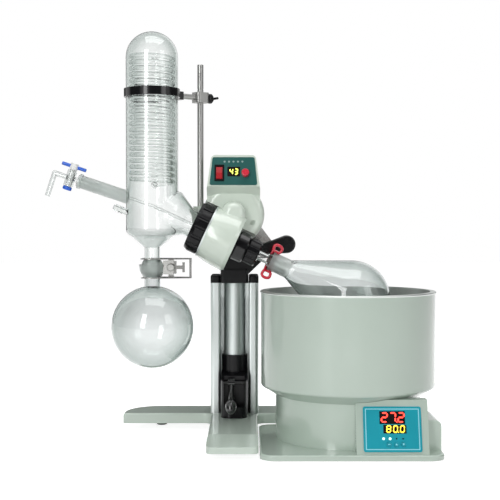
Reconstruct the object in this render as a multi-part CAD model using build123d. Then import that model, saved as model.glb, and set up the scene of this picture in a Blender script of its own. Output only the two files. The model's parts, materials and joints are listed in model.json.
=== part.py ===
from build123d import *
import math
import os

os.makedirs("parts", exist_ok=True)

# Driving dimensions, in mm. +Z is up, +Y is away from the user, X runs from the condenser to the bath.
# The head axis lies in the plane Y = 0 until the whole part is shifted to its origin at the end.
SLIDE_FIT = 0.05
PART_GAP = 0.4
SEAT_GAP = 1.0

# stand
FOOT_H = 12.0
FOOT_R = 10.0
BASE_T = 17.0
BASE_WALL = 8.0
BASE_LEFT = -213.0
BASE_RIGHT = 85.0
BASE_BACK = 177.0
BASE_FRONT = -140.0
TONGUE_W = 77.0
TONGUE_SLOPE = 62.0
TONGUE_DROP = 7.0
CORNER_BACK = 60.0
COL_X = -26.0
COL_FRONT = 100.0
COL_W = 81.0
COL_DEPTH = 60.0
LOBE_W = 16.6
COL_H = 219.5
CAP_H = 13.0
TUBE_R = 18.0
TUBE_WALL = 2.5
TUBE_Y = 122.0
GUIDE_H = 26.0
CLAMP_W = 44.0
CLAMP_FRONT = 50.0
CLAMP_H = 98.0
CLAMP_BLOCK_H = 70.0
LEVER_PIN_R = 2.5
LEVER_BULB_R = 11.0
LEVER_LEN = 46.0
LEVER_LEAN = 42.0
COL_SCREW_R = 3.0

# carriage and tilt
BLOCK_H = 22.0
UPRIGHT_T = 30.0
TILT_Z = 362.5
STUB_R = 15.0
STUB_LEN = 34.0
BOLT_R = 4.0
BOLT_X = 50.0
BOLT_DROP = 57.0
PADDLE_LEN = 37.0
PADDLE_R = 15.0
PADDLE_T = 10.0
PLATE_T = 4.0
TILT_DOWN = 5.0
TILT_UP = 15.0

# head
AXIS_X = -89.0
AXIS_Z = 345.7
AXIS_TILT = 25.0
BIG_NUT_R = 41.0
BIG_NUT_LEN = 22.3
BIG_NUT_RIBS = 16
RING_T = 2.5
BARREL_R = 47.0
BARREL_START = 25.0
BARREL_END = 72.3
REAR_R = 49.0
REAR_FRONT = 0.0
WORM_BOSS_R = 20.0
WORM_BOSS_FRONT = -24.0
REAR_BACK = 92.0
COVER_T = 6.0
NECK_W = 84.0
BOX_TOP_W = 70.0
BOX_TOP_Z = 456.0
PANEL_Z = 430.0
PANEL_Y = -7.0
PANEL_LEAN = 16.3
PANEL_LOW_W = 75.0
PANEL_TOP_W = 66.0
PANEL_H = 46.0
OVERLAY_T = 1.5
SHELL_T = 4.0
SPINDLE_R = 15.0
BEARING_R = 27.5
BEARING_T = 12.0
WHEEL_R = 33.4
WHEEL_T = 14.0
WHEEL_TEETH = 32
WORM_R = 7.6
MOTOR_R = 27.0
MOTOR_LEN = 56.0
SHAFT_R = 4.0
VAPOUR_R = 7.5
GLASS = 2.4

# evaporating flask, measured along the head axis
SMALL_NUT_R = 21.0
SMALL_NUT_LEN = 20.0
SMALL_NUT_RIBS = 14
JOINT_R = 14.8
JOINT_START = 134.0
JOINT_LEN = 34.0
FLASK_R = 60.5
FLASK_CENTRE = 276.0
FLASK_CONE = 25.0
CLIP_R = 21.0
CLIP_W = 8.0

# condenser and receiving flask
COND_X = -154.5
COND_R = 41.0
COND_TOP = 649.5
COND_LOW = 333.0
NECK_Z = 310.0
NECK_R = 12.0
BRANCH_R = 21.6
BRANCH_ROOT_R = 40.0
COIL_R = 33.0
COIL_TUBE_R = 3.6
COIL_PITCH = 9.6
COIL_TURNS = 21
COIL_LOW = 411.0
NIPPLE_R = 4.6
NIPPLE_LEN = 24.0
BALL_R = 17.5
BALL_Z = 279.0
BULB_R = 65.0
FORK_REACH = 62.0
BULB_Z = 184.3
FEED_TILT = 18.5
FEED_R = 10.3
FEED_LEN = 122.0
COCK_AT = 136.0
COCK_R = 7.5
COCK_LEN = 26.0
PLUG_R = 4.5
HUB_R = 6.5
HUB_LEN = 11.0
GRIP_R = 2.8
GRIP_REACH = 20.0
OUTLET_R = 4.0
OUTLET_LEN = 26.0
OUTLET_DROP = 38.0
COCK_STUB = 1.5

# support rod and clamp
ROD_X = -81.0
ROD_Y = 60.0
ROD_R = 5.0
ROD_TOP = 607.0
ROD_LOW = 352.0
RING_Z = 553.0
ROD_GROOVE_Z = 566.0
ROD_GROOVE_W = 1.5
ROD_EDGE = 0.8
RING_H = 13.0
BAND_T = 2.6
ARM_R = 4.5

# bath
BATH_X = 154.6
RIM_R = 138.7
RIM_Z = 242.0
POT_R = 129.0
POT_FLOOR = 112.0
POT_WALL = 1.2
POT_BEND = 12.0
JACKET_R = 137.0
JACKET_WALL = 2.0
KNUCKLE_Z = 94.0
TAPER_Z = 80.0
PEDESTAL_R = 114.0
PEDESTAL_WALL = 3.0
PLATE_LIP = 8.0
PLATE_LEFT = 14.0
PLATE_RIGHT = 285.0
PLATE_FRONT = -150.0
PLATE_BACK = 95.0
BATH_FOOT_H = 4.0
CONSOLE_X = 208.0
CONSOLE_W = 106.0
CONSOLE_TOP = 88.0
CONSOLE_LEAN = 17.0
BATH_PANEL_W = 85.0
BATH_PANEL_H = 66.0
DISPLAY_UP = 10.0
KEY_R = 3.2
KEY_STEP = 10.5
KEY_MID = 5.0
KEY_TRAVEL = 0.6

BASE_TOP = FOOT_H + BASE_T
COL_TOP = BASE_TOP + COL_H
COL_BACK = COL_FRONT + COL_DEPTH
CHANNEL_W = COL_W - 2 * LOBE_W
BLOCK_W = CHANNEL_W - 2 * PART_GAP
BOX_MID_Z = 406.0

parts = {}


def turned(points, start=0.0, arc=360.0):
    """A profile of (radius, height) points turned about +Z."""
    face = Plane.XZ * make_face(Polyline(*points, close=True))
    return revolve(face, Axis.Z, arc)


def tube(r_out, r_in, height, low=0.0):
    """An open pipe standing on z = low."""
    return turned([(r_in, low), (r_out, low), (r_out, low + height), (r_in, low + height)])


def rod(r, height, low=0.0):
    """A plain bar standing on z = low."""
    return Pos(0, 0, low + height / 2) * Cylinder(r, height)


def slab(x0, x1, y0, y1, z0, z1):
    """A box between two corners."""
    middle = Pos((x0 + x1) / 2, (y0 + y1) / 2, (z0 + z1) / 2)
    return middle * Box(x1 - x0, y1 - y0, z1 - z0)


def ribbed(r, height, count, rib, low=0.0):
    """A hand nut: a round body with shallow grooves around it."""
    body = rod(r, height, low)
    body = chamfer(body.edges().filter_by(GeomType.CIRCLE), min(2.0, height / 6))
    groove = rod(rib, height + 2, low - 1)
    for turn in range(count):
        body -= Rot(0, 0, 360 * turn / count) * Pos(r + rib * 0.55, 0, 0) * groove
    return body


def along_y(shape, x, z, y=0.0):
    """Lay a shape built on +Z along +Y."""
    return Pos(x, y, z) * Rot(-90, 0, 0) * shape


def add(name, shape):
    parts[name] = shape


tilt = math.radians(AXIS_TILT)
HEAD = Plane(
    origin=(AXIS_X, 0, AXIS_Z),
    x_dir=(0, 1, 0),
    z_dir=(math.cos(tilt), 0, -math.sin(tilt)),
)
lean = math.radians(PANEL_LEAN)
PANEL = Plane(
    origin=(COL_X, PANEL_Y, PANEL_Z),
    x_dir=(1, 0, 0),
    z_dir=(0, -math.cos(lean), math.sin(lean)),
)


def base_plan():
    """The T-shaped outline of the base, with its large curve at the back left."""
    bar = Pos((BASE_LEFT + BASE_RIGHT) / 2, (COL_FRONT + BASE_BACK) / 2) * Rectangle(
        BASE_RIGHT - BASE_LEFT, BASE_BACK - COL_FRONT
    )
    tongue = Pos(COL_X, (BASE_FRONT + BASE_BACK) / 2) * Rectangle(TONGUE_W, BASE_BACK - BASE_FRONT)
    plan = bar + tongue
    corner = plan.vertices().sort_by(Axis.X)[0:2].sort_by(Axis.Y)[-1]
    plan = fillet(corner, CORNER_BACK)
    inner = [v for v in plan.vertices() if abs(v.Y - COL_FRONT) < 0.1 and abs(v.X - COL_X) < TONGUE_W]
    plan = fillet(inner, 14)
    rest = [v for v in plan.vertices() if v.Y < BASE_FRONT + 1 or v.X > BASE_RIGHT - 1]
    return fillet(rest, 9)


def base_casting():
    """Painted casting, open below, with its tongue falling to a thin front lip."""
    plan = base_plan()
    body = Pos(0, 0, FOOT_H) * extrude(plan, BASE_T)
    body = fillet(body.faces().sort_by(Axis.Z)[-1].edges(), 3.5)
    reach = TONGUE_W
    wedge = Plane.YZ * make_face(Polyline(
        (BASE_FRONT - 1, BASE_TOP - TONGUE_DROP),
        (BASE_FRONT + TONGUE_SLOPE, BASE_TOP),
        (BASE_FRONT + TONGUE_SLOPE, BASE_TOP + 5),
        (BASE_FRONT - 1, BASE_TOP + 5),
        close=True,
    ))
    body -= Pos(COL_X, 0, 0) * extrude(wedge, reach, both=True)
    pocket = extrude(offset(plan, -BASE_WALL), BASE_T - BASE_WALL)
    bosses = Sketch() + [Pos(x, y) * Circle(FOOT_R + 3) for x, y in foot_places()]
    bosses += [Pos(x, y) * Circle(3.2 * COL_SCREW_R) for x, y in column_screw_places()]
    pocket -= extrude(bosses, BASE_T)
    body -= Pos(0, 0, FOOT_H) * pocket
    for x, y in column_screw_places():
        body -= Pos(x, y, 0) * rod(COL_SCREW_R + SLIDE_FIT, BASE_TOP + 1)
        body -= Pos(x, y, 0) * rod(2 * COL_SCREW_R, BASE_T / 2, FOOT_H)
    return body


def foot_places():
    """Under the base, set well back from its edges."""
    back = BASE_BACK - BASE_WALL - FOOT_R - 2
    return [
        (BASE_LEFT + CORNER_BACK, back),
        (BASE_RIGHT - BASE_WALL - FOOT_R - 4, back),
        (COL_X - TONGUE_W / 4, BASE_FRONT + TONGUE_SLOPE + FOOT_R),
        (COL_X + TONGUE_W / 4, BASE_FRONT + TONGUE_SLOPE + FOOT_R),
    ]


def base_feet():
    foot = turned([(0, 0), (FOOT_R - 2, 0), (FOOT_R - 1, 1), (FOOT_R, FOOT_H), (0, FOOT_H)])
    return Compound([Pos(x, y, 0) * foot for x, y in foot_places()])


def column_screw_places():
    dx = COL_W / 2 - LOBE_W / 2
    return [(COL_X + sx * dx, COL_FRONT + COL_DEPTH * f) for sx in (-1, 1) for f in (0.3, 0.7)]


def column():
    """Extruded profile: two hollow lobes and a back web around an open front channel."""
    outer = Rectangle(COL_W, COL_DEPTH)
    outer = fillet(outer.vertices(), 6)
    channel = Pos(0, -LOBE_W / 2) * Rectangle(CHANNEL_W, COL_DEPTH - LOBE_W + 0.01)
    profile = outer - channel
    lip = [v for v in profile.vertices() if abs(abs(v.X) - CHANNEL_W / 2) < 0.1 and v.Y < 0]
    profile = fillet(lip, 4)
    for side in (-1, 1):
        hole = Pos(side * (COL_W - LOBE_W) / 2, 0) * RectangleRounded(LOBE_W - 6, COL_DEPTH * 0.2, 2)
        profile -= hole
    body = Pos(COL_X, COL_FRONT + COL_DEPTH / 2, BASE_TOP) * extrude(profile, COL_H)
    for x, y in column_screw_places():
        body -= Pos(x, y, BASE_TOP - 1) * rod(COL_SCREW_R, 17)
    return body


def column_screws():
    head = rod(2 * COL_SCREW_R - 0.4, 4, FOOT_H + BASE_T / 2 - 4)
    shank = rod(COL_SCREW_R - SLIDE_FIT, BASE_T / 2 + 14, FOOT_H + BASE_T / 2)
    return Compound([Pos(x, y, 0) * (head + shank) for x, y in column_screw_places()])


def column_caps():
    """Black end caps on the two lobes."""
    face = RectangleRounded(LOBE_W, COL_DEPTH, 5)
    cap = extrude(face, CAP_H)
    cap = fillet(cap.faces().sort_by(Axis.Z)[-1].edges(), 3)
    shift = (COL_W - LOBE_W) / 2
    at = COL_FRONT + COL_DEPTH / 2
    return Compound([Pos(COL_X + s * shift, at, COL_TOP) * cap for s in (-1, 1)])


def guide_block():
    """Upper guide: a saddle behind the slide tube, wedged in the channel level with the column's top."""
    y0 = TUBE_Y + 2
    y1 = COL_BACK - LOBE_W
    body = slab(COL_X - CHANNEL_W / 2, COL_X + CHANNEL_W / 2, y0, y1, COL_TOP - GUIDE_H, COL_TOP)
    return body - Pos(COL_X, TUBE_Y, 0) * rod(TUBE_R + SLIDE_FIT, COL_TOP + 1)


def lift_clamp():
    """Lower guide and clamp: a collar round the tube on a round-fronted block, with a window for its lever."""
    y1 = COL_BACK - LOBE_W
    top = BASE_TOP + CLAMP_BLOCK_H
    body = slab(COL_X - CLAMP_W / 2, COL_X + CLAMP_W / 2, CLAMP_FRONT, y1, BASE_TOP, top)
    front = body.edges().filter_by(Axis.Z).sort_by(Axis.Y)[0:2]
    body = fillet(front, 17)
    slope = Plane.YZ * make_face(Polyline(
        (CLAMP_FRONT - 1, top - 12), (COL_FRONT, top + 1), (CLAMP_FRONT - 1, top + 1), close=True))
    body -= Pos(COL_X, 0, 0) * extrude(slope, CLAMP_W, both=True)
    body += Pos(COL_X, TUBE_Y, 0) * rod(CLAMP_W / 2 - 0.5, CLAMP_H, BASE_TOP) & slab(
        COL_X - CLAMP_W, COL_X + CLAMP_W, COL_FRONT - 10, y1, BASE_TOP, BASE_TOP + CLAMP_H)
    body -= slab(COL_X - CLAMP_W / 2 + 5, COL_X + CLAMP_W / 2 - 5, CLAMP_FRONT - 1, CLAMP_FRONT + 30,
                 BASE_TOP + 18, top + 1)
    body -= Pos(COL_X, TUBE_Y, 0) * rod(TUBE_R + SLIDE_FIT, CLAMP_H + 1, BASE_TOP + 2)
    pin_hole = Pos(COL_X - CLAMP_W, lever_y(), lever_z()) * Rot(0, 90, 0) * rod(
        LEVER_PIN_R + SLIDE_FIT, 2 * CLAMP_W)
    return body - pin_hole


def lever_y():
    return CLAMP_FRONT + 20.0


def lever_z():
    return BASE_TOP + CLAMP_BLOCK_H - 14.0


def cam_lever():
    """Cam lever on its own axle across the window, its stem coming forward to a bulb grip."""
    mid = COL_X - 5.0
    pivot = Pos(mid, lever_y(), lever_z())
    body = pivot * Rot(0, 90, 0) * rod(7.0, 11, -5.5)
    body += Pos(COL_X - CLAMP_W / 2, lever_y(), lever_z()) * Rot(0, 90, 0) * rod(LEVER_PIN_R, CLAMP_W)
    stem = Rot(-LEVER_LEAN, 0, 0) * turned([(0, -LEVER_LEN), (5.5, -LEVER_LEN), (3.6, 0), (0, 0)])
    grip = Rot(-LEVER_LEAN, 0, 0) * Pos(0, 0, -LEVER_LEN) * scale(Sphere(LEVER_BULB_R), (0.85, 0.85, 1.25))
    return body + pivot * (stem + grip)


def slide_tube():
    low = BASE_TOP + 4
    return Pos(COL_X, TUBE_Y, 0) * tube(TUBE_R, TUBE_R - TUBE_WALL, COL_TOP + BLOCK_H - 4 - low, low)


def bracket():
    """Black casting on the slide tube: block, upright with the tilt bearing, and the arm for the lock bolt."""
    y0 = REAR_BACK + COVER_T + PLATE_T + SEAT_GAP
    y1 = y0 + UPRIGHT_T
    low = COL_TOP
    body = slab(COL_X - BLOCK_W / 2, COL_X + BLOCK_W / 2, COL_FRONT - 6, COL_BACK - LOBE_W, low, low + BLOCK_H)
    body = fillet(body.edges().filter_by(Axis.Z), 5)
    bearing_r = STUB_R + 12
    outline = make_hull([
        *(Pos(COL_X, TILT_Z) * Circle(bearing_r)).edges(),
        *(Pos(COL_X, low + BLOCK_H / 2) * Rectangle(BLOCK_W - 4, BLOCK_H - 1)).edges(),
    ])
    ear_r = BOLT_R + 8
    ear = make_hull([
        *(Pos(COL_X + BOLT_X, TILT_Z - BOLT_DROP) * Circle(ear_r)).edges(),
        *(Pos(COL_X + BLOCK_W / 2 - 8, low + (CAP_H + BLOCK_H) / 2) * Rectangle(14, BLOCK_H - CAP_H - 2)).edges(),
    ])
    stand_up = Plane(origin=(0, y1, 0), x_dir=(1, 0, 0), z_dir=(0, -1, 0))
    body += stand_up * extrude(outline, UPRIGHT_T)
    body += Pos(0, y0 - y1 + 14, 0) * (stand_up * extrude(ear, 14))
    body -= along_y(rod(STUB_R + SLIDE_FIT, 2 * UPRIGHT_T), COL_X, TILT_Z, y0 - 5)
    body -= along_y(rod(BOLT_R + SLIDE_FIT, 40), COL_X + BOLT_X, TILT_Z - BOLT_DROP, y0 - 5)
    body -= Pos(COL_X, TUBE_Y, 0) * rod(TUBE_R, BLOCK_H - 4, low)
    return body


def tilt_plate():
    """Steel plate on the head's back, with the arc slot that the lock bolt runs in."""
    y0 = REAR_BACK + COVER_T
    reach = math.hypot(BOLT_X, BOLT_DROP)
    at = -math.degrees(math.atan2(BOLT_DROP, BOLT_X))
    wide = BOLT_R + 5
    sector = [Pos(reach * math.cos(math.radians(at + a)), reach * math.sin(math.radians(at + a))) * Circle(wide)
              for a in (-TILT_UP - 2, TILT_DOWN + 2)]
    plan = make_hull([*Circle(STUB_R + 8).edges(), *sector[0].edges(), *sector[1].edges()])
    half = BOLT_R + PART_GAP
    first = at - TILT_UP - 1.5
    arc = CenterArc((0, 0), reach, first, TILT_UP + TILT_DOWN + 3)
    plan -= SlotArc(arc, 2 * half)
    plan -= Circle(STUB_R + SLIDE_FIT)
    upright = Plane(origin=(COL_X, y0 + PLATE_T, TILT_Z), x_dir=(1, 0, 0), z_dir=(0, -1, 0))
    return upright * extrude(plan, PLATE_T)


def tilt_lever():
    """Paddle lever with the bolt that passes the slot and the bracket's ear."""
    y1 = REAR_BACK + COVER_T
    hub_r = BOLT_R + 5
    grip = make_hull([
        *Circle(hub_r).edges(),
        *(Pos(PADDLE_LEN, 8) * Circle(PADDLE_R)).edges(),
    ])
    upright = Plane(origin=(COL_X + BOLT_X, y1, TILT_Z - BOLT_DROP), x_dir=(1, 0, 0), z_dir=(0, -1, 0))
    paddle = extrude(grip, PADDLE_T)
    paddle = fillet(paddle.faces().sort_by(Axis.Z)[-1].edges(), 3.5)
    bolt = rod(BOLT_R, PLATE_T + SEAT_GAP + 13, -(PLATE_T + SEAT_GAP + 13))
    return upright * (paddle + bolt)


def barrel_profile():
    """Radius along the head axis of the painted barrel."""
    s0, s1 = BARREL_START, BARREL_END
    with BuildSketch(Plane.XZ) as face:
        with BuildLine():
            side = Spline((BARREL_R - 5, s0), (BARREL_R - 0.6, (s0 + s1) / 2), (BARREL_R, s1 - 5))
            Line(side @ 1, (BARREL_R - 2, s1))
            Polyline((BARREL_R - 2, s1), (0, s1), (0, s0), side @ 0)
        make_face()
    return revolve(face.sketch, Axis.Z)


def upper_case():
    """The upper casing: a neck that narrows to the sloping control box."""
    half = NECK_W / 2
    top = BOX_TOP_W / 2
    front = make_face(Polyline((-half, TILT_Z), (half, TILT_Z), (half, BOX_MID_Z - 4), (top, BOX_TOP_Z),
                               (-top, BOX_TOP_Z), (-half, BOX_MID_Z - 4), close=True))
    front = fillet(front.vertices().group_by(Axis.Y)[-1], 7)
    rise = math.tan(lean)
    low_y = PANEL_Y - (PANEL_Z - BOX_MID_Z) * rise
    top_y = PANEL_Y + (BOX_TOP_Z - PANEL_Z) * rise
    side = make_face(Polyline((REAR_FRONT + 4, TILT_Z), (REAR_FRONT + 4, BOX_MID_Z - 14), (low_y, BOX_MID_Z),
                              (top_y, BOX_TOP_Z), (62, BOX_TOP_Z), (74, BOX_TOP_Z - 16), (74, TILT_Z), close=True))
    upright = Plane(origin=(COL_X, 120, 0), x_dir=(1, 0, 0), z_dir=(0, -1, 0))
    body = upright * extrude(front, 200)
    return body & (Pos(COL_X, 0, 0) * extrude(Plane.YZ * side, 100, both=True))


def rocker_at():
    return -22.2, -3.5


def knob_at():
    return 18.7, -4.4


def head_housing():
    """Painted casting: barrel on the head axis, round gear case behind it, and the control box on top."""
    case = along_y(rod(REAR_R, REAR_BACK - REAR_FRONT), COL_X, TILT_Z, REAR_FRONT)
    case = fillet(case.edges().filter_by(GeomType.CIRCLE).sort_by(Axis.Y)[0], 12)
    nose = along_y(rod(WORM_BOSS_R, 60), COL_X, TILT_Z, WORM_BOSS_FRONT)
    nose = fillet(nose.edges().filter_by(GeomType.CIRCLE).sort_by(Axis.Y)[0], 14)
    body = case + nose + HEAD * barrel_profile() + upper_case()
    boss = Pos(ROD_X, ROD_Y, 0) * rod(ROD_R + 7, 30, ROD_LOW - 6)
    web = slab(ROD_X, COL_X, ROD_Y - 9, ROD_Y + 9, ROD_LOW - 6, ROD_LOW + 24)
    body += boss + web
    wheel_s = wheel_place()
    body -= HEAD * rod(BEARING_R, BARREL_END, BARREL_START - 1)
    body -= HEAD * rod(WHEEL_R + 3, WHEEL_T + 4, wheel_s - WHEEL_T / 2 - 2)
    body -= along_y(rod(WORM_R + 3, REAR_BACK - MOTOR_LEN + 16), COL_X, TILT_Z, -15)
    body -= along_y(rod(MOTOR_R + 3, REAR_BACK), COL_X, TILT_Z, REAR_BACK - MOTOR_LEN)
    body -= PANEL * Pos(0, 0, -SHELL_T - 23) * Box(62, 38, 46)
    body -= PANEL * Pos(*rocker_at(), -SHELL_T / 2) * Box(12, 23, SHELL_T + 2)
    body -= PANEL * Pos(0.5, -1, -SHELL_T / 2) * Box(18, 14, SHELL_T + 2)
    body -= PANEL * Pos(*knob_at(), 0) * rod(3 + SLIDE_FIT, 20, -10)
    body -= Pos(ROD_X, ROD_Y, 0) * rod(ROD_R, 60, ROD_LOW)
    body -= HEAD * rod(BIG_NUT_R + 2, 100, BARREL_START - 100)
    body -= HEAD * rod(SMALL_NUT_R + 6, 100, BARREL_END)
    body -= PANEL * slab(-NECK_W, NECK_W, -PANEL_H / 2 - 2, PANEL_H, 0, 40)
    screw = COL_X + 30
    recess = along_y(rod(4, 8) - rod(2.9, 3, 6) + extrude(RegularPolygon(2, 6), 8), screw, TILT_Z - 13, REAR_FRONT - 1)
    return body - recess - head_inlet_frame() * Box(24.2, 17.2, 30)


def wheel_place():
    """Where the worm's axis passes the head axis, measured along it."""
    dx = COL_X - AXIS_X
    dz = TILT_Z - AXIS_Z
    return dx * math.cos(tilt) - dz * math.sin(tilt)


def rear_cover():
    """Back plate of the gear case with the stub that the head tilts on."""
    plate = rod(REAR_R, COVER_T)
    stub = rod(STUB_R, STUB_LEN + COVER_T + PLATE_T)
    return along_y(plate + stub, COL_X, TILT_Z, REAR_BACK)


def motor():
    body = rod(MOTOR_R, MOTOR_LEN)
    for turn in range(12):
        body -= Rot(0, 0, 30 * turn) * Pos(MOTOR_R, 0, MOTOR_LEN / 2) * Box(3, 3, MOTOR_LEN - 16)
    body -= rod(SHAFT_R + SLIDE_FIT, 20, -1)
    return along_y(body, COL_X, TILT_Z, REAR_BACK - MOTOR_LEN)


def worm_shaft():
    """Motor shaft with a grooved worm."""
    start = REAR_BACK - MOTOR_LEN
    worm = rod(WORM_R, 24, -12)
    for turn in range(6):
        worm -= tube(WORM_R + 1, WORM_R - 1.6, 2, -11 + 4 * turn)
    shaft = rod(SHAFT_R, start + 16 + 13, -13)
    return along_y(worm + shaft, COL_X, TILT_Z)


def worm_wheel():
    wheel = rod(WHEEL_R, WHEEL_T, -WHEEL_T / 2)
    for turn in range(WHEEL_TEETH):
        wheel -= Rot(0, 0, 360 * turn / WHEEL_TEETH) * Pos(WHEEL_R, 0, 0) * Box(4, 3, WHEEL_T + 1)
    wheel -= rod(SPINDLE_R, WHEEL_T + 2, -WHEEL_T / 2 - 1)
    return HEAD * Pos(0, 0, wheel_place()) * wheel


def spindle_bearings():
    ring = tube(BEARING_R, SPINDLE_R + SLIDE_FIT, BEARING_T)
    ring = chamfer(ring.edges().filter_by(GeomType.CIRCLE), 0.6)
    return Compound([HEAD * Pos(0, 0, s) * ring for s in (BARREL_START, BARREL_END - BEARING_T)])


def spindle():
    """Hollow spindle with the dark collar that shows in front of the barrel."""
    start = BARREL_START - 2
    bore = VAPOUR_R + 0.3
    body = tube(SPINDLE_R, bore, small_nut_start() - start, start)
    collar = tube(SPINDLE_R + 9, SPINDLE_R - 1, small_nut_start() - BARREL_END - SEAT_GAP, BARREL_END + SEAT_GAP)
    collar = chamfer(collar.edges().filter_by(GeomType.CIRCLE).sort_by(SortBy.RADIUS)[-2:], 2)
    return HEAD * (body + collar)


def small_nut_start():
    return BARREL_END + 20.0


def small_nut():
    body = ribbed(SMALL_NUT_R, SMALL_NUT_LEN, SMALL_NUT_RIBS, 2.2, small_nut_start())
    return HEAD * (body - rod(VAPOUR_R, 60, small_nut_start() - 5))


def vapour_tube():
    """Glass vapour tube through the spindle, ending in the ground cone inside the flask's neck."""
    start = BARREL_START - 1
    end = JOINT_START + JOINT_LEN - 6
    cone_low = VAPOUR_R + 1.4
    cone_top = JOINT_R - GLASS - 0.2
    outer = turned([(0, start), (VAPOUR_R, start), (VAPOUR_R, JOINT_START - 6), (cone_top, JOINT_START),
                    (cone_low, end), (0, end)])
    return HEAD * (outer - rod(VAPOUR_R - GLASS + 0.4, end + 1, start - 1))


def evaporating_flask():
    """Pear-shaped flask: ground socket, cone and round bottom turned about the head axis."""
    cone = math.radians(FLASK_CONE)

    def solid(r_ball, r_neck, start):
        tangent = FLASK_CENTRE - r_ball * math.sin(cone)
        r_tangent = r_ball * math.cos(cone)
        meet = tangent - (r_tangent - r_neck) / math.tan(cone)
        with BuildSketch(Plane.XZ) as face:
            with BuildLine():
                Polyline((0, start), (r_neck, start), (r_neck, meet), (r_tangent, tangent))
                half = (math.pi / 2 + cone) / 2
                side = (r_ball * math.sin(half), FLASK_CENTRE + r_ball * math.cos(half))
                ThreePointArc((r_tangent, tangent), side, (0, FLASK_CENTRE + r_ball))
                Line((0, FLASK_CENTRE + r_ball), (0, start))
            make_face()
        return revolve(face.sketch, Axis.Z)

    body = solid(FLASK_R, JOINT_R, JOINT_START) - solid(FLASK_R - GLASS, VAPOUR_R + 1.6, JOINT_START - 1)
    cone_low = VAPOUR_R + 1.6
    cone_top = JOINT_R - GLASS
    end = JOINT_START + JOINT_LEN - 5
    body -= turned([(0, JOINT_START), (cone_top, JOINT_START), (cone_low, end), (0, end)])
    body += tube(JOINT_R + 1.6, JOINT_R - 1, 4, JOINT_START)
    return HEAD * body


def joint_clip():
    """Red plastic clip over the flask's lip."""
    s0 = JOINT_START - 3
    body = tube(JOINT_R + 4.2, JOINT_R + 1.6, CLIP_W + 4, s0)
    body += tube(JOINT_R + 4.2, VAPOUR_R + 5, 2, JOINT_START - 4.6) + tube(JOINT_R + 4.2, JOINT_R, 2.4, JOINT_START + 4)
    ears = Pos(0, 0, s0 + CLIP_W / 2 + 1) * Box(9, 2 * CLIP_R, CLIP_W)
    body += ears - rod(JOINT_R + 3, 30, s0 - 8)
    body -= turned([(0, s0 - 5), (VAPOUR_R + 0.6, s0 - 5), (JOINT_R - 0.6, JOINT_START), (0, JOINT_START)])
    body -= Pos(JOINT_R + 5, 0, s0 + 4) * Box(12, 13, 30)
    return HEAD * body


def union_nut():
    """Large black union nut that holds the condenser's flange against the head."""
    body = ribbed(BIG_NUT_R, BIG_NUT_LEN, BIG_NUT_RIBS, 4.0)
    body = body & turned([(0, -1), (BIG_NUT_R - 4, -1), (BIG_NUT_R + 1, 8), (BIG_NUT_R + 1, 40), (0, 40)])
    body -= rod(BRANCH_R + PART_GAP, 60, -10)
    body -= rod(BRANCH_R + 7 + PART_GAP, 60, 5)
    return HEAD * body


def trim_ring():
    """Thin bright ring between the union nut and the barrel."""
    return HEAD * tube(BARREL_R - 4.5, BRANCH_R + 8, RING_T, BARREL_START - RING_T)


def vacuum_seal():
    """Lip seal between the condenser's flange and the spindle."""
    return HEAD * tube(BRANCH_R + 7, SPINDLE_R + 1.6, BARREL_START - 11.0, 11.0)


feed_lean = math.radians(FEED_TILT)
FEED_Z = AXIS_Z + (AXIS_X - COND_X) * math.tan(tilt)
FEED = Plane(
    origin=(COND_X, 0, FEED_Z),
    x_dir=(0, 1, 0),
    z_dir=(-math.cos(feed_lean), 0, math.sin(feed_lean)),
)
COIL_HIGH = COIL_LOW + COIL_PITCH * COIL_TURNS
BRANCH_LEN = (AXIS_X - COND_X) / math.cos(tilt)


def condenser_solid(inset, ends):
    """Jacket, side branch, feed socket and outlet neck as one solid, drawn in by the glass thickness."""
    r = COND_R - inset
    dome = COND_TOP - COND_R
    with BuildSketch(Plane.XZ) as face:
        with BuildLine():
            low = COND_LOW + inset * 0.6
            Polyline((0, NECK_Z - 40), (NECK_R - inset, NECK_Z - 40), (NECK_R - inset, NECK_Z), (r - 8, low - 5))
            ThreePointArc((r - 8, low - 5), (r - 2.2, low - 1), (r, low + 6))
            Line((r, low + 6), (r, dome))
            ThreePointArc((r, dome), (r * math.sqrt(0.5), dome + r * math.sqrt(0.5)), (0, dome + r))
            Line((0, dome + r), (0, NECK_Z - 40))
        make_face()
    body = Pos(COND_X, 0, 0) * revolve(face.sketch, Axis.Z)
    branch = turned([(0, -BRANCH_LEN + 4), (BRANCH_ROOT_R - inset - 2, -BRANCH_LEN + 4), (BRANCH_ROOT_R - inset - 2, -38),
                     (BRANCH_R - inset, -9), (BRANCH_R - inset, 11.0 + ends), (0, 11.0 + ends)])
    body += HEAD * branch
    body += FEED * rod(FEED_R - inset, FEED_LEN + ends - 4, 4)
    return body


def coil_seat():
    """Where the coil's ends meet the flat bosses inside the jacket."""
    return COND_R - GLASS - 0.8


def nipple_places():
    """Heights of the hose nipples on the back: coolant out, coolant in and vacuum."""
    return COIL_HIGH, COIL_LOW, (COIL_HIGH + COND_TOP - COND_R) / 2


def hose_nipple(bore):
    """A glass hose nipple with three beads, built along +Z."""
    end = NIPPLE_LEN
    points = [(bore, 0), (NIPPLE_R, 0), (NIPPLE_R, end - 15)]
    for bead in range(3):
        z = end - 15 + 5 * bead
        points += [(NIPPLE_R + 1.1, z), (NIPPLE_R - 0.4, z + 5)]
    points += [(bore, end)]
    return turned(points)


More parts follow.
